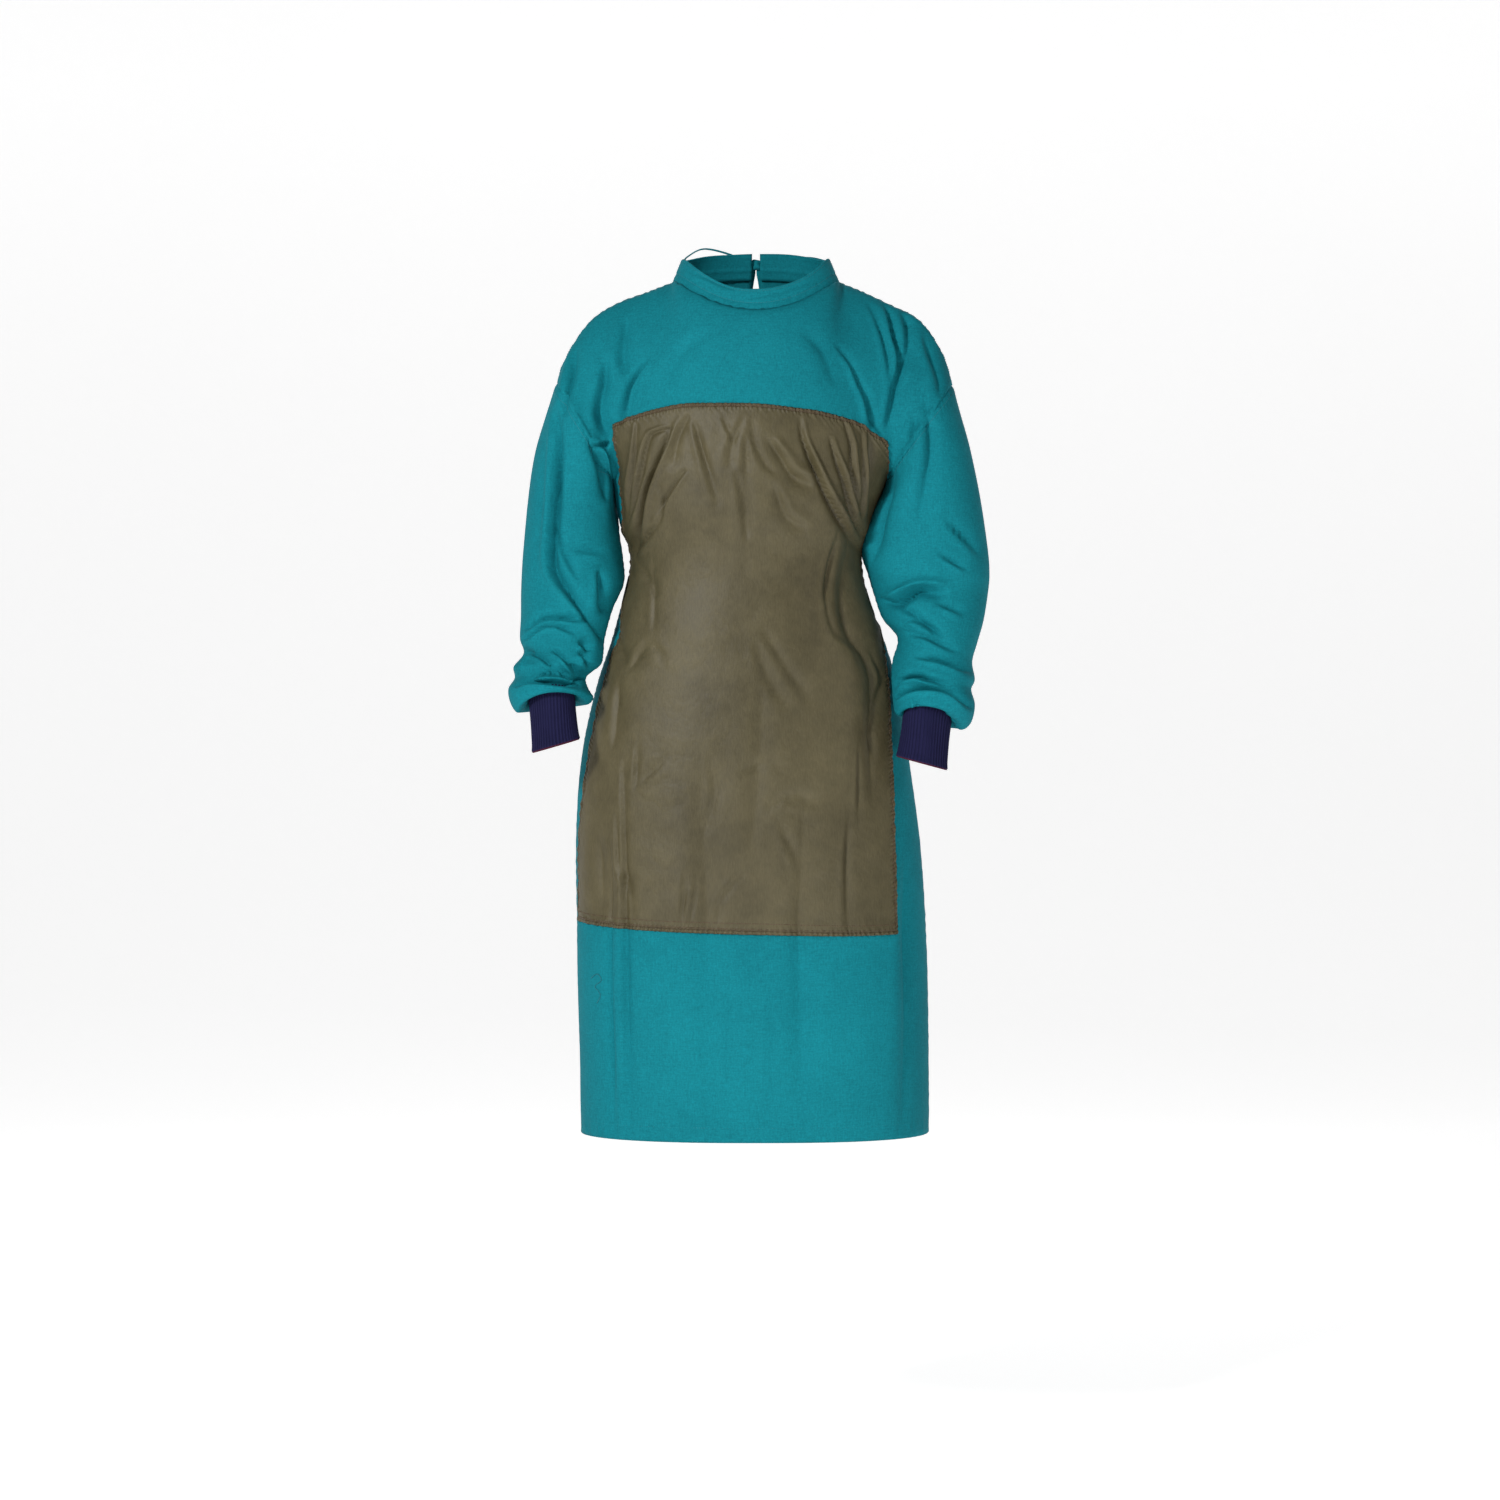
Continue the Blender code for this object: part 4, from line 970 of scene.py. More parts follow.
def panel_places(height, share, inset):
    """The panel: the same cloth form moved out, with a turned-under border and its stitches."""
    grid, normals, relief = creased_body(height, share, -1)
    run = grid[..., 2] + grid[..., 0] * 1.3
    relief += seam_puckers(inset, run, *PANEL_PUCKERS)
    relief += PANEL_LIFT + 0.0006 * smooth_step((TURNED_UNDER - inset) / 0.002)
    relief += groove(inset - STITCH_INSET, *PANEL_GROOVE)
    relief -= 0.0006 * np.exp(-(inset / 0.0008) ** 2)
    return grid + normals * relief[..., None]


def back_places(height, share, edge):
    """One half of the back. The left half lies over the right where they overlap."""
    grid, normals, relief = creased_body(height, share, 1)
    lap = back_overlap(height)
    from_edge = (share * edge + lap) * SHARE_METRES
    run = grid[..., 2]
    relief += seam_puckers(from_edge, run, *BACK_PUCKERS)
    relief += groove(from_edge - BACK_STITCH_INSET, *BACK_GROOVE)
    top_fade = np.minimum(1.0, (2 - height) / LAP_FADE)
    if edge > 0:
        near = smooth_step((lap + LAP_RAMP - share) / LAP_RAMP)
        grid = grid - places(0.0, UNDER_LAP * near * top_fade, 0.0)
    else:
        at_edge = np.exp(-(from_edge / CURL_REACH) ** 2)
        curl = at_edge * np.sin(run * 17.0 + 1.2 * np.sin(run * 9.0))
        relief += EDGE_CURL * (curl + 0.3 * at_edge) * top_fade
    return grid + normals * relief[..., None]


def end_arch(turn, side):
    """How far a sleeve's end and its cuff's top rise at the front."""
    arch = np.maximum(np.sin(turn * 2 * math.pi), 0) ** 1.3
    return END_ARCH[side] * arch


def sleeve_surface(along, turn, side):
    """A sleeve, with its creases, its seam under the arm and its gathers at the cuff."""
    step = 0.004
    to_cuff = (1 - along) * SLEEVE_LENGTH
    lift = end_arch(turn, side) * np.exp(-(to_cuff / ARCH_REACH) ** 2)
    grid = beside_body(sleeve_places(along, turn, side), along) + places(0.0, 0.0, lift)
    across = sleeve_places(along, turn + step, side) - sleeve_places(along, turn - step, side)
    down = (sleeve_places(np.minimum(along + step, 1), turn, side)
            - sleeve_places(np.maximum(along - step, 0), turn, side))
    normals = unit(np.cross(across, down)) * side
    relief = cloth_relief(grid, normals)
    relief *= smooth_step(to_cuff / CUFF_SEAM_FADE)
    waves = np.sin(turn * 2 * math.pi * 19 + 1.3 * np.sin(turn * 31))
    waves += 0.6 * np.sin(turn * 2 * math.pi * 31 + 2.0)
    spot, reach, height = FINE_GATHERS
    relief += height * waves * (np.exp(-((to_cuff - spot) / reach) ** 2) * smooth_step(to_cuff / spot))
    waves = np.sin(turn * 2 * math.pi * 7 + 2.0 * np.sin(turn * 9))
    spot, reach, height = BROAD_GATHERS
    relief += height * waves * np.exp(-((to_cuff - spot) / reach) ** 2)
    from_seam = np.abs((turn % 1.0) - 0.5) * SLEEVE_GIRTH
    from_armhole = along * SLEEVE_LENGTH
    relief += groove(from_seam, *SEAM_GROOVE) + seam_puckers(from_seam, from_armhole, *UNDERARM_PUCKERS)
    relief += groove(from_armhole, *ARMHOLE_GROOVE)
    relief += seam_puckers(from_armhole, turn * 0.5, *ARMHOLE_PUCKERS)
    return grid + normals * relief[..., None], normals


# Rows up the body: few over the plain skirt, more about the waist and the yoke
SKIRT_ROWS = 70
WAIST_ROWS = 100
YOKE_ROWS = 73
WAIST_ROWS_FROM = -0.600
FRONT_COLUMNS = 166
BACK_COLUMNS = 84


def body_heights():
    waist_low = height_of(WAIST_ROWS_FROM)
    return np.concatenate((
        np.linspace(0, waist_low, SKIRT_ROWS, endpoint=False),
        np.linspace(waist_low, 1, WAIST_ROWS, endpoint=False),
        np.linspace(1, 2, YOKE_ROWS),
    ))


def make_front():
    height, share = np.meshgrid(body_heights(), np.linspace(-1, 1, FRONT_COLUMNS), indexing="ij")
    mesh = sheet_mesh("front_cloth", front_places(height, share), False, from_axis)
    return lay("front_cloth", mesh, CLOTH, "front")


def make_panel():
    """The panel's grid: close rows and columns along its border, wider ones inside it."""
    low = np.array([0, 0.0020, 0.0045, 0.0080, 0.0120, 0.0170])
    high = np.array([0.9750, 0.9830, 0.9885, 0.9925, 0.9965, 1.0])
    ups = np.concatenate((low, np.linspace(0.022, 0.36, 44, endpoint=False),
                          np.linspace(0.36, 0.970, 132), high))
    edge_steps = np.array([0, 0.003, 0.008, 0.014, 0.020, 0.027])
    shares = np.concatenate((edge_steps, np.linspace(0.036, 0.964, 176), 1 - edge_steps[::-1]))
    up, across = np.meshgrid(ups, shares, indexing="ij")
    height, share = panel_share(up, across)
    mesh = sheet_mesh("panel_cloth", panel_places(height, share, panel_inset(height, share)),
                      False, from_axis)
    return lay("panel_cloth", mesh, CLOTH, "front_panel")


def make_back(side_name, edge):
    height, step = np.meshgrid(body_heights(), np.linspace(0, 1, BACK_COLUMNS), indexing="ij")
    share = mix(edge, -edge * back_overlap(height), step)
    name = "back_cloth_" + side_name
    mesh = sheet_mesh(name, back_places(height, share, edge), False, from_axis)
    return lay(name, mesh, CLOTH, "back_" + side_name)


TUCK = 0.004
TUCK_SHRINK = 0.018
UPPER_SLEEVE = 0.30
UPPER_SLEEVE_ROWS = 36
LOWER_SLEEVE_ROWS = 134
SLEEVE_COLUMNS = 181


def make_sleeve(side_name, side):
    """A sleeve whose top edge is tucked a little way into the armhole."""
    alongs = np.concatenate((np.linspace(0, UPPER_SLEEVE, UPPER_SLEEVE_ROWS),
                             np.linspace(UPPER_SLEEVE, 1, LOWER_SLEEVE_ROWS)[1:]))
    along, turn = np.meshgrid(alongs, np.linspace(0, 1, SLEEVE_COLUMNS), indexing="ij")
    grid, _ = sleeve_surface(along, turn, side)
    outer_x, outer_z, inner_x, inner_z = SLEEVES[side][0][:4]
    into_body = np.array([outer_z - inner_z, 0, inner_x - outer_x])
    into_body = into_body / np.linalg.norm(into_body)
    if into_body[0] * side > 0:
        into_body = -into_body
    middle = grid[0].mean(axis=0)
    tucked = middle + (grid[0] - middle) * (1 - TUCK_SHRINK) + into_body * TUCK
    half_tucked = middle + (grid[0] - middle) * (1 - TUCK_SHRINK * 0.8)
    grid = np.concatenate((tucked[None], half_tucked[None], grid[1:]))
    name = "sleeve_cloth_" + side_name
    mesh = sheet_mesh(name, grid, True, away_from(grid.mean(axis=1)))
    return lay(name, mesh, CLOTH, "sleeve_" + side_name)


RIBS = 44
RIB_HEIGHT = 0.0012
KNIT = 0.0018
CUFF_INSIDE_SLEEVE = 0.05


def make_cuff(side_name, side):
    """A knitted tube with fine ribs, drawn in a little below the seam, with a rolled edge."""
    ups = np.concatenate((np.linspace(-CUFF_INSIDE_SLEEVE, 0.94, 16), [0.965, 0.985, 1.0]))
    turns = np.linspace(0, 1, RIBS * 8 + 1)
    share, turn = np.meshgrid(ups, turns, indexing="ij")
    top, bottom = (np.array(row) for row in CUFFS[side])
    section = top + (bottom - top) * share[..., None]
    grid = tube_places(section, turn)
    middle = grid[:, :-1].mean(axis=1, keepdims=True)
    out = unit(grid - middle)
    phase = turn * 2 * math.pi * RIBS + 0.5 * np.sin(turn * 2 * math.pi * 5)
    ribs = RIB_HEIGHT * np.abs(np.sin(phase / 2)) ** 0.8 * smooth_step((share + 0.02) / 0.06)
    drawn_in = -0.0012 - 0.0012 * np.sin(np.clip(share, 0, 1) * math.pi)
    waves = 0.0007 * np.sin(turn * 2 * math.pi * 4 + share * 3) * np.clip(share, 0, 1)
    rolled = 0.0006 * np.exp(-((share - 0.955) / 0.03) ** 2) - 0.0010 * smooth_step((share - 0.97) / 0.03)
    under_sleeve = -0.0022 * smooth_step((0.02 - share) / 0.04)
    grid = grid + out * (ribs + drawn_in + waves + rolled + under_sleeve)[..., None]
    grid = grid + places(0.0, 0.0, end_arch(turn, side) * smooth_step(1 - share / 0.8))
    name = "cuff_knit_" + side_name
    mesh = sheet_mesh(name, grid, True, away_from(grid.mean(axis=1)))
    return lay(name, mesh, KNIT, "cuff_" + side_name)


COLLAR_STITCH = 0.30
COLLAR_TOP_STITCH = 0.88
COLLAR_WALL = 0.0020


def collar_surface(angle, up):
    grid = collar_places(angle, up)
    out = ways_from_axis(grid)
    run = angle * 0.09
    relief = groove((up - COLLAR_STITCH) * COLLAR_HEIGHT, *COLLAR_GROOVE)
    relief += seam_puckers((up - COLLAR_STITCH) * COLLAR_HEIGHT, run, *COLLAR_PUCKERS)
    relief += groove((up - COLLAR_TOP_STITCH) * COLLAR_HEIGHT, *COLLAR_TOP_GROOVE)
    relief -= 0.0010 * smooth_step((up - 0.95) / 0.05)
    relief += 0.0009 * np.sin(angle * 3 + 0.6) * up + 0.0006 * np.sin(angle * 7.4 + 2.0) * up
    relief -= crease_depth(seen_from_front(grid), COLLAR_CREASES, 1.0) * smooth_step(-out[..., 1] / 0.3)
    rise = 0.0009 * np.sin(angle * 5.1 + 1.0) * up
    return grid + out * relief[..., None] + places(0.0, 0.0, rise)


def make_collar():
    limit = math.pi + math.pi / 2 / NECK_SHARE * BACK_OVERLAP[-1][1]
    angles = np.linspace(-limit, limit, 190)
    ups = np.concatenate(([-0.14], np.linspace(0, 0.94, 20), [0.97, 1.0]))
    up, angle = np.meshgrid(ups, angles, indexing="ij")
    mesh = sheet_mesh("collar_band", collar_surface(angle, up), False, from_axis)
    return lay("collar_band", mesh, COLLAR_WALL, "collar")


# Tapes, knots and stitches
def tape_mesh(name, line, wide_ways, width, columns=5):
    """A flat tape along a line of places. wide_ways are the ways of its width at each place."""
    along = unit(np.gradient(line, axis=0))
    wide = wide_ways - along * np.sum(wide_ways * along, axis=1, keepdims=True)
    wide = unit(wide)
    steps = np.linspace(-0.5, 0.5, columns)
    grid = line[:, None, :] + wide[:, None, :] * (steps * width)[None, :, None]
    thick = np.cross(along, wide)
    crown = 0.0004 * np.cos(steps * math.pi)
    grid = grid + thick[:, None, :] * crown[None, :, None]
    facing = Vector(thick.mean(axis=0))
    return sheet_mesh(name, grid, False, lambda place: facing)


def tie_line(knot, offsets, edge, count, droop=1.0):
    """A smooth line beside a knot, through its offsets. droop is the share of a rise that is kept."""
    rows = [(knot[0] + dx * -edge, knot[1] + dy, knot[2] + dz * (droop if dz > 0 else 1.0))
            for dx, dy, dz in offsets]
    return rows_at(with_index(rows), np.linspace(0, 1, count))


# Columns: name, knot, tape width, free end, how far the end's tape turns, loop, how far the loop
# leans, the share of its rise that the right-hand loop keeps
TIES = (
    ("waist", WAIST_KNOT, WAIST_BOW_WIDTH, WAIST_END, 0.35, WAIST_LOOP, 0.2, 1.0),
    ("neck", NECK_KNOT, NECK_TAPE_WIDTH, NECK_END, 0.45, NECK_LOOP, 0.0, RIGHT_NECK_DROOP),
)
END_STEPS = 90
LOOP_STEPS = 110


def make_tie_end(tie, side_name, edge):
    """A free end of a tie: a limp flat tape that hangs from its knot down to a plain cut end."""
    place_name, knot, width, offsets, swing = tie[:5]
    line = tie_line(knot, offsets, edge, END_STEPS)
    share = np.linspace(0, 1, END_STEPS)
    turned = swing * edge * smooth_step((share - 0.1) / 0.8) + 0.25 * np.sin(share * 7.0) * share
    ways = places(np.cos(turned), np.sin(turned), 0.0)
    name = place_name + "_tape_end_" + side_name
    mesh = tape_mesh(name, line, ways, width)
    piece = lay(name, mesh, FREE_END_WALL, place_name + "_end_" + side_name, 0)
    return piece


def make_tie_loop(tie, side_name, edge):
    """A bow's loop: it leaves the knot, turns over at its far side and comes back in."""
    place_name, knot, width, _, _, offsets, lean, right_droop = tie
    line = tie_line(knot, offsets, edge, LOOP_STEPS, right_droop if edge > 0 else 1.0)
    share = np.linspace(0, 1, LOOP_STEPS)
    ways = places(0.25 * np.sin(share * math.pi * 2) * edge, 1.0, mix(lean, -lean, share))
    flare = 0.55 + 0.45 * smooth_step(share / 0.2) * smooth_step((1 - share) / 0.2)
    name = place_name + "_tape_loop_" + side_name
    mesh = tape_mesh(name, line, ways, width)
    for vert in mesh.vertices:
        nearest = int(np.argmin(np.sum((line - np.array(vert.co)) ** 2, axis=1)))
        middle = Vector(line[nearest])
        vert.co = middle + (vert.co - middle) * float(flare[nearest])
    return lay(name, mesh, TAPE_WALL, place_name + "_loop_" + side_name, 0)


KNOT_WRAPS = 1.5
KNOT_SQUARE = 3.2


def make_knot(name, centre, size):
    """A knot: a tight rounded core with the tape's own wraps round it."""
    mesh = bpy.data.meshes.new(name)
    shape = bmesh.new()
    bmesh.ops.create_uvsphere(shape, u_segments=40, v_segments=24, radius=0.5)
    for vert in shape.verts:
        x, y, z = vert.co
        wrap = 0.055 * math.sin((x * 1.0 + z * 0.55) * 2 * math.pi * KNOT_WRAPS + 0.6)
        pinch = 1 - 0.22 * math.exp(-((z - 0.1 * x) / 0.16) ** 2) * abs(x) * 2
        size_here = sum(abs(2 * part) ** KNOT_SQUARE for part in (x, y, z)) ** (1 / KNOT_SQUARE)
        vert.co = vert.co * (1 / size_here) * (1 + wrap) * pinch
    bmesh.ops.scale(shape, vec=size, verts=shape.verts)
    bmesh.ops.translate(shape, vec=centre, verts=shape.verts)
    for face in shape.faces:
        face.smooth = True
    shape.to_mesh(mesh)
    shape.free()
    piece = link(name, mesh)
    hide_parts(name.replace("tied_", ""))
    return piece


BELT_FROM = 0.93
BELT_TO = 0.012
BELT_STEPS = 130


def make_belt(side_name, edge):
    """Half of the waist tie, from its end sewn on behind the side seam to the knot."""
    back_shares = np.linspace(BELT_FROM, BELT_TO, BELT_STEPS)
    lifts = np.linspace(0.5, -0.5, 6) * WAIST_TAPE_WIDTH
    rows = []
    for lift in lifts:
        rows.append(ring_places(np.full_like(back_shares, WAIST_Z + lift), edge * back_shares, 1))
    grid = np.stack(rows)
    out = unit(grid * np.array([1.0, 1.0, 0.0]))
    run = np.linspace(0, 1, grid.shape[1])
    slack = 0.0007 * np.sin(run * 21 + 0.8 * np.sin(run * 9))
    to_knot = smooth_step((run - 0.90) / 0.10)
    off = mix(0.0010, TIE_STAND_OFF, smooth_step(run / 0.25)) + TAPE_WALL
    grid = grid + out * (off + slack * (1 - to_knot))[None, :, None]
    squeeze = 1 - 0.35 * smooth_step((run - 0.93) / 0.07)
    grid[..., 2] = WAIST_Z + (grid[..., 2] - WAIST_Z) * squeeze
    name = "waist_tape_" + side_name
    mesh = sheet_mesh(name, grid, False, from_axis)
    return lay(name, mesh, TAPE_WALL, "waist_tie_" + side_name)


THREAD = 0.00034
PANEL_THREAD = 0.00045
STITCH_PITCH = 0.0032
STITCH_LENGTH = 0.0024


def stitch_row(curve, line, out):
    """Sew one row of stitches along a line of places. out are the ways out of the cloth."""
    steps = np.linalg.norm(np.diff(line, axis=0), axis=1)
    run = np.concatenate(([0], np.cumsum(steps)))
    starts = np.arange(STITCH_PITCH, run[-1] - STITCH_PITCH, STITCH_PITCH)
    offsets = (0.0, STITCH_LENGTH * 0.5, STITCH_LENGTH)
    heights = (-0.00025, 0.00022, -0.00025)
    for start in starts:
        spline = curve.splines.new("POLY")
        spline.points.add(2)
        for point, offset, height in zip(spline.points, offsets, heights):
            spot = [np.interp(start + offset, run, line[:, k] + out[:, k] * height) for k in range(3)]
            point.co = (*spot, 1.0)


def new_stitches(name, thread=THREAD):
    curve = bpy.data.curves.new(name, "CURVE")
    curve.dimensions = "3D"
    curve.bevel_depth = thread
    curve.bevel_resolution = 1
    curve.use_fill_caps = True
    return curve


def as_piece(curve):
    """Turn the sewn curve into one mesh piece."""
    holder = bpy.data.objects.new(curve.name + "_line", curve)
    bpy.context.scene.collection.objects.link(holder)
    evaluated = holder.evaluated_get(bpy.context.evaluated_depsgraph_get())
    mesh = bpy.data.meshes.new_from_object(evaluated)
    mesh.shade_smooth()
    piece = link(curve.name, mesh)
    bpy.data.objects.remove(holder)
    return piece


def turned_to(out, *way):
    """Turn the ways out of a cloth round where on the whole they point against a way."""
    return out * np.sign(out.mean(axis=0) @ np.array(way))


def surface_line(surface, a, b):
    """A line on a surface of two numbers, and the ways out of it, found from its neighbours."""
    step = 0.0015
    line = surface(a, b)
    across = surface(a, b + step) - line
    up = surface(a + step, b) - line
    return line, unit(np.cross(across, up))


def panel_line(up, across):
    height, share = panel_share(up, across)
    return panel_places(height, share, panel_inset(height, share))


def sew_panel():
    """A row of stitches inside each of the panel's four edges, and a second at its top and foot."""
    piece = new_stitches("panel_stitches", PANEL_THREAD)
    from_bottom, from_top = 0.0074, 0.9925
    ups = np.linspace(from_bottom, from_top, 420)
    height, _ = panel_share(ups, np.full(420, 0.5))
    left, right = panel_edges(height)
    side = STITCH_INSET / (half_girth(height) * (right - left))
    rows = [(ups, side), (ups, 1 - side)]
    for up, inset in ((from_bottom, side[0]), (0.0150, side[0]), (from_top, side[-1]),
                      (0.9860, side[-1])):
        rows.append((np.full(300, up), np.linspace(inset, 1 - inset, 300)))
    for up, across in rows:
        line, out = surface_line(panel_line, up, across)
        stitch_row(piece, line, turned_to(out, 0, -1, 0))
    return as_piece(piece)


def spots_on_front(line):
    """Heights and shares of the places on the front that a line seen in the photograph runs over."""
    height, share = np.meshgrid(np.linspace(0.05, 0.40, 240), np.linspace(-0.98, -0.3, 240),
                                indexing="ij")
    seen = seen_from_front(body_places(height, share, -1))
    found = []
    for point in smooth_line(line):
        off = np.sum((seen - point) ** 2, axis=-1)
        nearest = np.unravel_index(np.argmin(off), off.shape)
        found.append((height[nearest], share[nearest]))
    return np.array(found).T


# A small mend low on the left of the skirt, as seen from the front, in millimetres
MEND_LINE = ((-206, -872), (-197, -866), (-192, -874), (-200, -882), (-193, -892), (-199, -905))
MEND_LIFTS = (0.0003, 0.0007)


def sew_body():
    """Stitches round the hem, along the shoulders, down the back's free edges, and a small mend."""
    piece = new_stitches("body_stitches")
    hem = HEM_DEPTH / BODY_LENGTH
    shares = np.linspace(-0.985, 0.985, 420)
    line, out = surface_line(front_places, np.full(420, hem), shares)
    stitch_row(piece, line, turned_to(out, 0, -1, 0))
    line, out = surface_line(front_places, *spots_on_front(MEND_LINE))
    mend_out = turned_to(out, 0, -1, 0)
    for lift in MEND_LIFTS:
        stitch_row(piece, line + mend_out * lift, mend_out)
    for _, edge in SIDES:
        half = np.linspace(NECK_SHARE + 0.01, 0.985, 160) * edge
        line, out = surface_line(front_places, np.full(160, 1.986), half)
        stitch_row(piece, line, turned_to(out, 0, 0, 1))

        def half_back(height, share, edge=edge):
            return back_places(height, share, edge)

        lap = float(back_overlap(np.array(hem)))
        shares = np.linspace(0.985, -lap + 0.03, 240) * edge
        line, out = surface_line(half_back, np.full(240, hem), shares)
        stitch_row(piece, line, turned_to(out, 0, 1, 0))
        heights = np.linspace(0.01, 1.97, 520)
        shares = (-back_overlap(heights) + BACK_STITCH_INSET / SHARE_METRES) * edge
        line, out = surface_line(half_back, heights, shares)
        stitch_row(piece, line, turned_to(out, 0, 1, 0))
    return as_piece(piece)


def sew_collar():
    piece = new_stitches("collar_stitches")
    angles = np.linspace(-3.02, 3.02, 500)
    for up in (COLLAR_STITCH, COLLAR_TOP_STITCH):
        line, _ = surface_line(collar_surface, angles, np.full(500, up))
        stitch_row(piece, line, ways_from_axis(line))
    return as_piece(piece)


ARMHOLE_STITCH = 0.016


def sew_sleeves():
    """The armhole seams' stitches, on the sleeve's side."""
    piece = new_stitches("sleeve_stitches")
    turns = np.linspace(0, 1, 320)
    along = np.full_like(turns, ARMHOLE_STITCH)
    for _, side in SIDES:
        grid, normals = sleeve_surface(along, turns, side)
        outwards = np.sign(np.sum(normals[0] * (grid[0] - grid.mean(axis=0))))
        stitch_row(piece, grid, normals * outwards)
    return as_piece(piece)


# Materials
class Term:
    """A shader value that adds and multiplies like a number."""

    def __init__(self, tree, socket):
        self.tree = tree
        self.socket = socket

    def math(self, operation, *others):
        node = self.tree.nodes.new("ShaderNodeMath")
        node.operation = operation
        for entry, value in zip(node.inputs, (self,) + others):
            if isinstance(value, Term):
                self.tree.links.new(value.socket, entry)
            else:
                entry.default_value = value
        return Term(self.tree, node.outputs[0])

    def __add__(self, other):
        return self.math("ADD", other)

    def __mul__(self, other):
        return self.math("MULTIPLY", other)

    def __sub__(self, other):
        return self.math("SUBTRACT", other)

    def __rsub__(self, other):
        return (self * -1.0) + other

    __radd__ = __add__
    __rmul__ = __mul__


class Finish:
    """One material, made node by node."""

    def __init__(self, name):
        self.material = bpy.data.materials.new(name)
        self.material.use_nodes = True
        self.tree = self.material.node_tree
        self.shader = self.tree.nodes["Principled BSDF"]

    def node(self, kind, output, settings=(), numbered=(), **sockets):
        """Make a node of a kind, with its settings and then its sockets, and return one output."""
        made = self.tree.nodes.new("ShaderNode" + kind)
        for name, value in dict(settings).items():
            setattr(made, name, value)
        for number, value in dict(numbered).items():
            self.feed(made.inputs[number], value)
        for name, value in sockets.items():
            self.feed(made.inputs[name.replace("_", " ")], value)
        return Term(self.tree, made.outputs[output])

    def feed(self, entry, value):
        if isinstance(value, Term):
            self.tree.links.new(value.socket, entry)
        else:
            entry.default_value = value

    def set(self, **sockets):
        for name, value in sockets.items():
            self.feed(self.shader.inputs[name.replace("_", " ")], value)

    def noise(self, vector, scale, detail=3.0, rough=0.5):
        return self.node("TexNoise", "Fac", Vector=vector, Scale=scale, Detail=detail,
                         Roughness=rough)

    def threads(self, place, *stretch):
        """Fine marks drawn out along one thread way: the smaller a number, the longer they are."""
        return self.noise(self.node("Mapping", "Vector", Vector=place, Scale=stretch), 1.0, 2.0, 0.6)

    def bump(self, strength, distance, height):
        self.set(Normal=self.node("Bump", "Normal", Strength=strength, Distance=distance,
                                  Height=height))

    def colour(self, factor, dark, light):
        """Run from one colour to another by a value between 0 and 1."""
        return self.node("Mix", 2, {"data_type": "RGBA"}, {0: factor, 6: dark, 7: light})

    def cloth_place(self):
        """Metres across and up the cloth of a piece."""
        spot = self.node("UVMap", "UV", {"uv_map": "cloth"})
        return (self.node("SeparateXYZ", "X", Vector=spot),
                self.node("SeparateXYZ", "Y", Vector=spot))


def near_zero(value, reach):
    """1 where a value is zero, falling to 0 where it is as far off as reach."""
    return (1.0 - value.math("ABSOLUTE") * (1.0 / reach)).math("MAXIMUM", 0.0)


def cloth_size(piece):
    """How wide and how high a piece's cloth is, in metres, by its UV."""
    layer = piece.data.uv_layers["cloth"]
    spots = np.empty(len(layer.data) * 2)
    layer.data.foreach_get("uv", spots)
    return [float(side) for side in spots.reshape(-1, 2).max(axis=0)]


TEAL_DARK = (0.0020, 0.124, 0.156, 1.0)
TEAL_LIGHT = (0.0060, 0.222, 0.268, 1.0)
OLIVE_DARK = (0.046, 0.038, 0.017, 1.0)
OLIVE_LIGHT = (0.106, 0.089, 0.044, 1.0)
NAVY_DARK = (0.006, 0.006, 0.028, 1.0)
NAVY_LIGHT = (0.014, 0.014, 0.056, 1.0)
CUFF_EDGE = (0.085, 0.010, 0.018, 1.0)
THREAD_OLIVE = (0.060, 0.030, 0.014, 1.0)
THREAD_OLIVE_LIGHT = (0.105, 0.066, 0.034, 1.0)
THREAD_TEAL = (0.004, 0.120, 0.150, 1.0)
THREAD_TEAL_LIGHT = (0.008, 0.180, 0.215, 1.0)
FLOOR_PALE = (0.64, 0.64, 0.64, 1.0)
FLOOR_PALER = (0.68, 0.68, 0.68, 1.0)


def cloth_finish(name, roughness):
    """Woven cloth: mottled a little, with slubs along both thread ways and fine bumps."""
    finish = Finish(name)
    place = finish.node("TexCoord", "Object")
    mottle = finish.noise(place, 9.0, 4.0, 0.6)
    threads = finish.threads(place, 700.0, 700.0, 90.0) + finish.threads(place, 90.0, 90.0, 700.0)
    grain = finish.noise(place, 420.0, 3.0, 0.7)
    shade = mottle * 0.7 + threads * 0.7 + grain * 1.3 - 1.2
    finish.set(Base_Color=finish.colour(shade, TEAL_DARK, TEAL_LIGHT), Roughness=roughness,
               Specular_IOR_Level=0.10)
    rumple = finish.noise(place, 22.0, 3.0, 0.5)
    crinkle = (finish.noise(place, 15.0, 3.0, 0.5) - 0.5).math("ABSOLUTE")
    finish.bump(0.5, 0.0024, threads * 0.10 + grain * 0.22 + rumple * 0.8 + crinkle * 0.9)
    return finish.material


PUCKER_TURNS = 1050.0


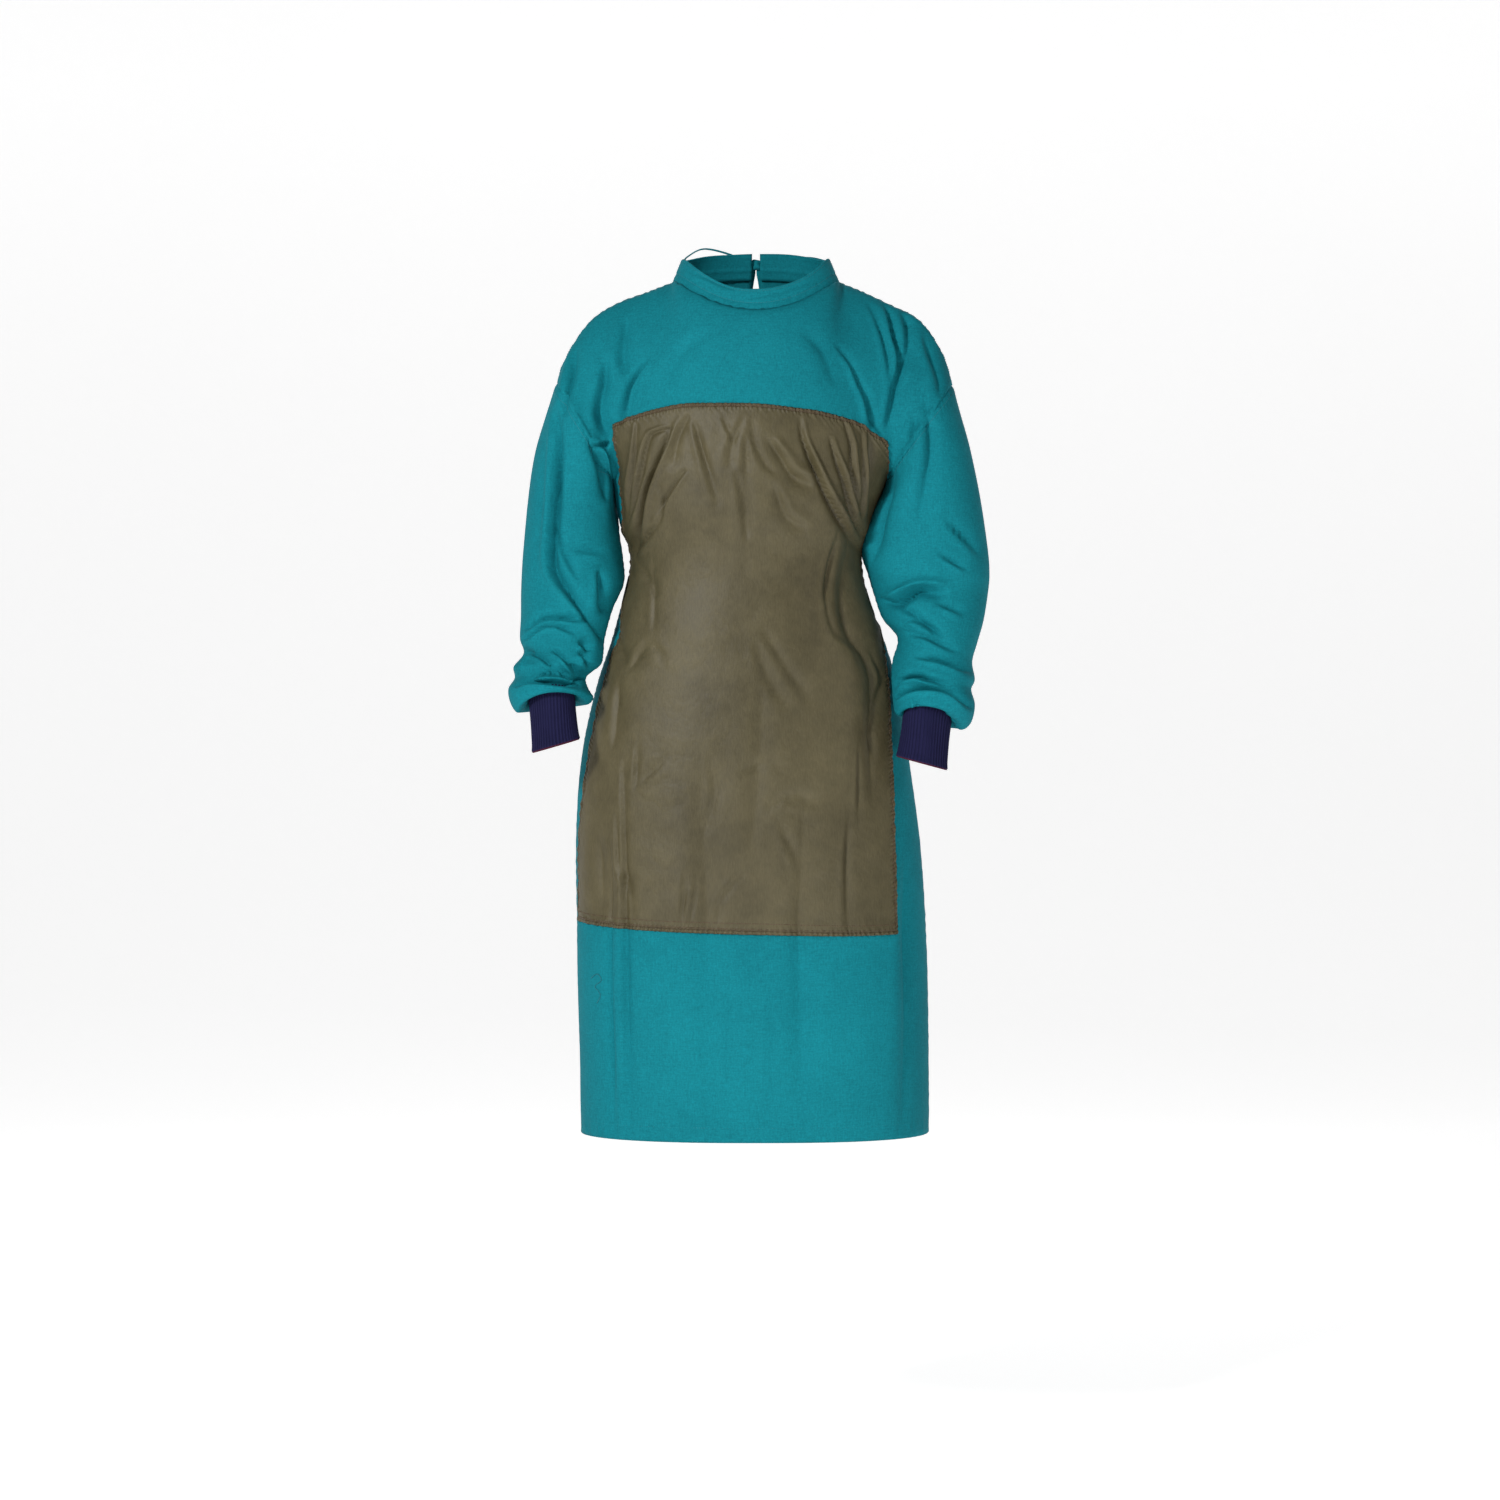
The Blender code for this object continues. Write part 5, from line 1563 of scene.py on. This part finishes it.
def coated_finish(name, wide, high):
    """Close-woven coated cloth: crinkled, with a soft sheen, puckered along its sewn border, with painted
    light and shade on the puckers and painted shade in the stitch groove.
    """
    finish = Finish(name)
    place = finish.node("TexCoord", "Object")
    across, up = finish.cloth_place()
    from_side = across.math("MINIMUM", wide - across)
    from_end = up.math("MINIMUM", high - up)
    inset = from_side.math("MINIMUM", from_end)
    mottle = finish.noise(place, 7.0, 5.0, 0.62)
    cloud = finish.noise(place, 38.0, 4.0, 0.6)
    threads = finish.threads(place, 620.0, 620.0, 120.0)
    sway = cloud * 9.0
    puckers = ((up * PUCKER_TURNS + sway + from_side * 500.0).math("SINE") * near_zero(from_side, 0.012)
               + (across * PUCKER_TURNS + sway).math("SINE") * near_zero(from_end, 0.011))
    seam = near_zero(inset - STITCH_INSET, 0.0014)
    # puckers paints light and shade on the gathers along the border. seam darkens the stitch line as
    # painted groove shade, then draws it toward the thread's own colour.
    shade = mottle * 1.4 + cloud * 0.8 + threads * 0.7 + puckers * 0.16 - seam * 0.35 - 0.95
    worn = mottle * 0.14 + cloud * 0.12 + 0.40
    cloth = finish.colour(shade, OLIVE_DARK, OLIVE_LIGHT)
    finish.set(Base_Color=finish.colour(seam * 0.45, cloth, THREAD_OLIVE), Roughness=worn,
               Specular_IOR_Level=0.30)
    rumple = finish.noise(place, 24.0, 3.0, 0.5)
    crinkle = (finish.noise(place, 19.0, 4.0, 0.55) - 0.5).math("ABSOLUTE")
    height = threads * 0.07 + cloud * 0.30 + rumple * 0.8 + crinkle * 1.1 + puckers * 0.35 - seam * 0.3
    finish.bump(0.65, 0.0030, height)
    return finish.material


def knit_finish(name, wide, high):
    """Rib knit: fuzzy, with painted shade between its ribs and a painted highlight on their crests, and a
    thin red thread along its lower edge.
    """
    finish = Finish(name)
    place = finish.node("TexCoord", "Object")
    across, up = finish.cloth_place()
    turn = across * (2 * math.pi / wide)
    ribs = (turn * (RIBS / 2) + (turn * 5.0).math("SINE") * 0.25).math("SINE").math("ABSOLUTE")
    fuzz = finish.noise(place, 900.0, 2.0, 0.7)
    mottle = finish.noise(place, 60.0, 3.0, 0.6)
    # The rib term lightens the crests and darkens between the ribs: painted light and shade over the
    # ribs' real relief. Mottle and fuzz are the yarn's own tone.
    shade = ribs * 0.9 + mottle * 0.5 + fuzz * 0.4 - 0.55
    cloth = finish.colour(shade, NAVY_DARK, NAVY_LIGHT)
    edge = near_zero(high - up, 0.0024)
    finish.set(Base_Color=finish.colour(edge, cloth, CUFF_EDGE), Roughness=0.92,
               Specular_IOR_Level=0.15)
    finish.bump(0.6, 0.0006, fuzz + ribs)
    return finish.material


def plain_finish(name, dark, light, roughness):
    finish = Finish(name)
    place = finish.node("TexCoord", "Object")
    speck = finish.noise(place, 400.0, 2.0, 0.6)
    finish.set(Base_Color=finish.colour(speck, dark, light), Roughness=roughness)
    return finish.material


def dress(piece, material):
    piece.data.materials.clear()
    piece.data.materials.append(material)


# The stage: a pale floor that curves up into a pale wall far behind, and soft light
FLOOR_FRONT = -8.0
WALL_Y = 7.0
WALL_CURVE = 3.0
WALL_TOP = 9.0
STAGE_HALF_WIDTH = 14.0
BEND_FROM = 0.25
BEND_TO = 0.75
FLOOR_GLOW = 0.655


def make_stage():
    mesh = bpy.data.meshes.new("floor")
    shape = bmesh.new()
    bmesh.ops.create_grid(shape, x_segments=1, y_segments=40, size=1.0)
    for vert in shape.verts:
        share = (vert.co.y + 1) / 2
        turn = min(max((share - BEND_FROM) / (BEND_TO - BEND_FROM), 0.0), 1.0) * math.pi / 2
        y = WALL_Y - WALL_CURVE + WALL_CURVE * math.sin(turn)
        z = FLOOR_Z + WALL_CURVE * (1 - math.cos(turn))
        if share < BEND_FROM:
            y = mix(FLOOR_FRONT, y, share / BEND_FROM)
        if share > BEND_TO:
            z = mix(z, WALL_TOP, (share - BEND_TO) / (1 - BEND_TO))
        vert.co = (vert.co.x * STAGE_HALF_WIDTH, y, z)
    for face in shape.faces:
        face.smooth = True
    shape.to_mesh(mesh)
    shape.free()
    floor = bpy.data.objects.new("floor", mesh)
    bpy.context.scene.collection.objects.link(floor)
    finish = Finish("pale floor")
    place = finish.node("TexCoord", "Object")
    cloud = finish.noise(place, 0.6, 2.0, 0.5)
    finish.set(Base_Color=finish.colour(cloud, FLOOR_PALE, FLOOR_PALER),
               Roughness=1.0, Specular_IOR_Level=0.0, Emission_Color=(1.0, 1.0, 1.0, 1.0),
               Emission_Strength=FLOOR_GLOW)
    dress(floor, finish.material)


# Columns: place, size, power in watts
LAMPS = (
    ((-2.1, -3.2, 1.1), 0.6, 124.0),
    ((2.7, -2.5, 0.8), 1.2, 16.0),
    ((0.5, -1.9, -1.42), 0.9, 15.0),
    ((0.2, 2.8, 1.6), 2.6, 34.0),
)
SKY_LIGHT = 0.10
LAMP_AIM = (0, 0, -0.55)


def make_light():
    bpy.context.scene.view_settings.view_transform = "Standard"
    world = bpy.data.worlds.new("soft room")
    bpy.context.scene.world = world
    world.use_nodes = True
    ground = world.node_tree.nodes["Background"]
    ground.inputs["Color"].default_value = (1.0, 1.0, 1.0, 1.0)
    ground.inputs["Strength"].default_value = SKY_LIGHT
    for index, (spot, size, power) in enumerate(LAMPS):
        data = bpy.data.lights.new("lamp_%d" % index, "AREA")
        data.shape = "DISK"
        data.size = size
        data.energy = power
        lamp = bpy.data.objects.new("lamp_%d" % index, data)
        bpy.context.scene.collection.objects.link(lamp)
        lamp.location = spot
        lamp.visible_camera = False
        lamp.rotation_euler = (Vector(LAMP_AIM) - Vector(spot)).to_track_quat("-Z", "Y").to_euler()


def main():
    tape = cloth_finish("tape teal", 0.90)
    woven = cloth_finish("woven teal", 0.85)
    thread_teal = plain_finish("teal thread", THREAD_TEAL, THREAD_TEAL_LIGHT, 0.7)
    thread_olive = plain_finish("olive thread", THREAD_OLIVE, THREAD_OLIVE_LIGHT, 0.7)

    # The free cords first
    for side_name, edge in SIDES:
        for tie in TIES:
            dress(make_tie_end(tie, side_name, edge), tape)

    front = make_front()
    dress(front, woven)
    panel = make_panel()
    dress(panel, coated_finish("coated olive", *cloth_size(panel)))
    panel_stitches = sew_panel()
    dress(panel_stitches, thread_olive)
    collar = make_collar()
    dress(collar, woven)
    body_stitches, collar_stitches, sleeve_stitches = sew_body(), sew_collar(), sew_sleeves()
    for piece in (body_stitches, collar_stitches, sleeve_stitches):
        dress(piece, thread_teal)

    for side_name, edge in SIDES:
        back = make_back(side_name, edge)
        dress(back, woven)
        sleeve = make_sleeve(side_name, edge)
        dress(sleeve, woven)
        cuff = make_cuff(side_name, edge)
        dress(cuff, knit_finish("knit navy " + side_name, *cloth_size(cuff)))
        belt = make_belt(side_name, edge)
        dress(belt, tape)
        for tie in TIES:
            dress(make_tie_loop(tie, side_name, edge), tape)
    dress(make_knot("tied_waist_knot", WAIST_KNOT, WAIST_KNOT_SIZE), tape)
    dress(make_knot("tied_neck_knot", NECK_KNOT, NECK_KNOT_SIZE), tape)

    make_stage()
    make_light()


main()
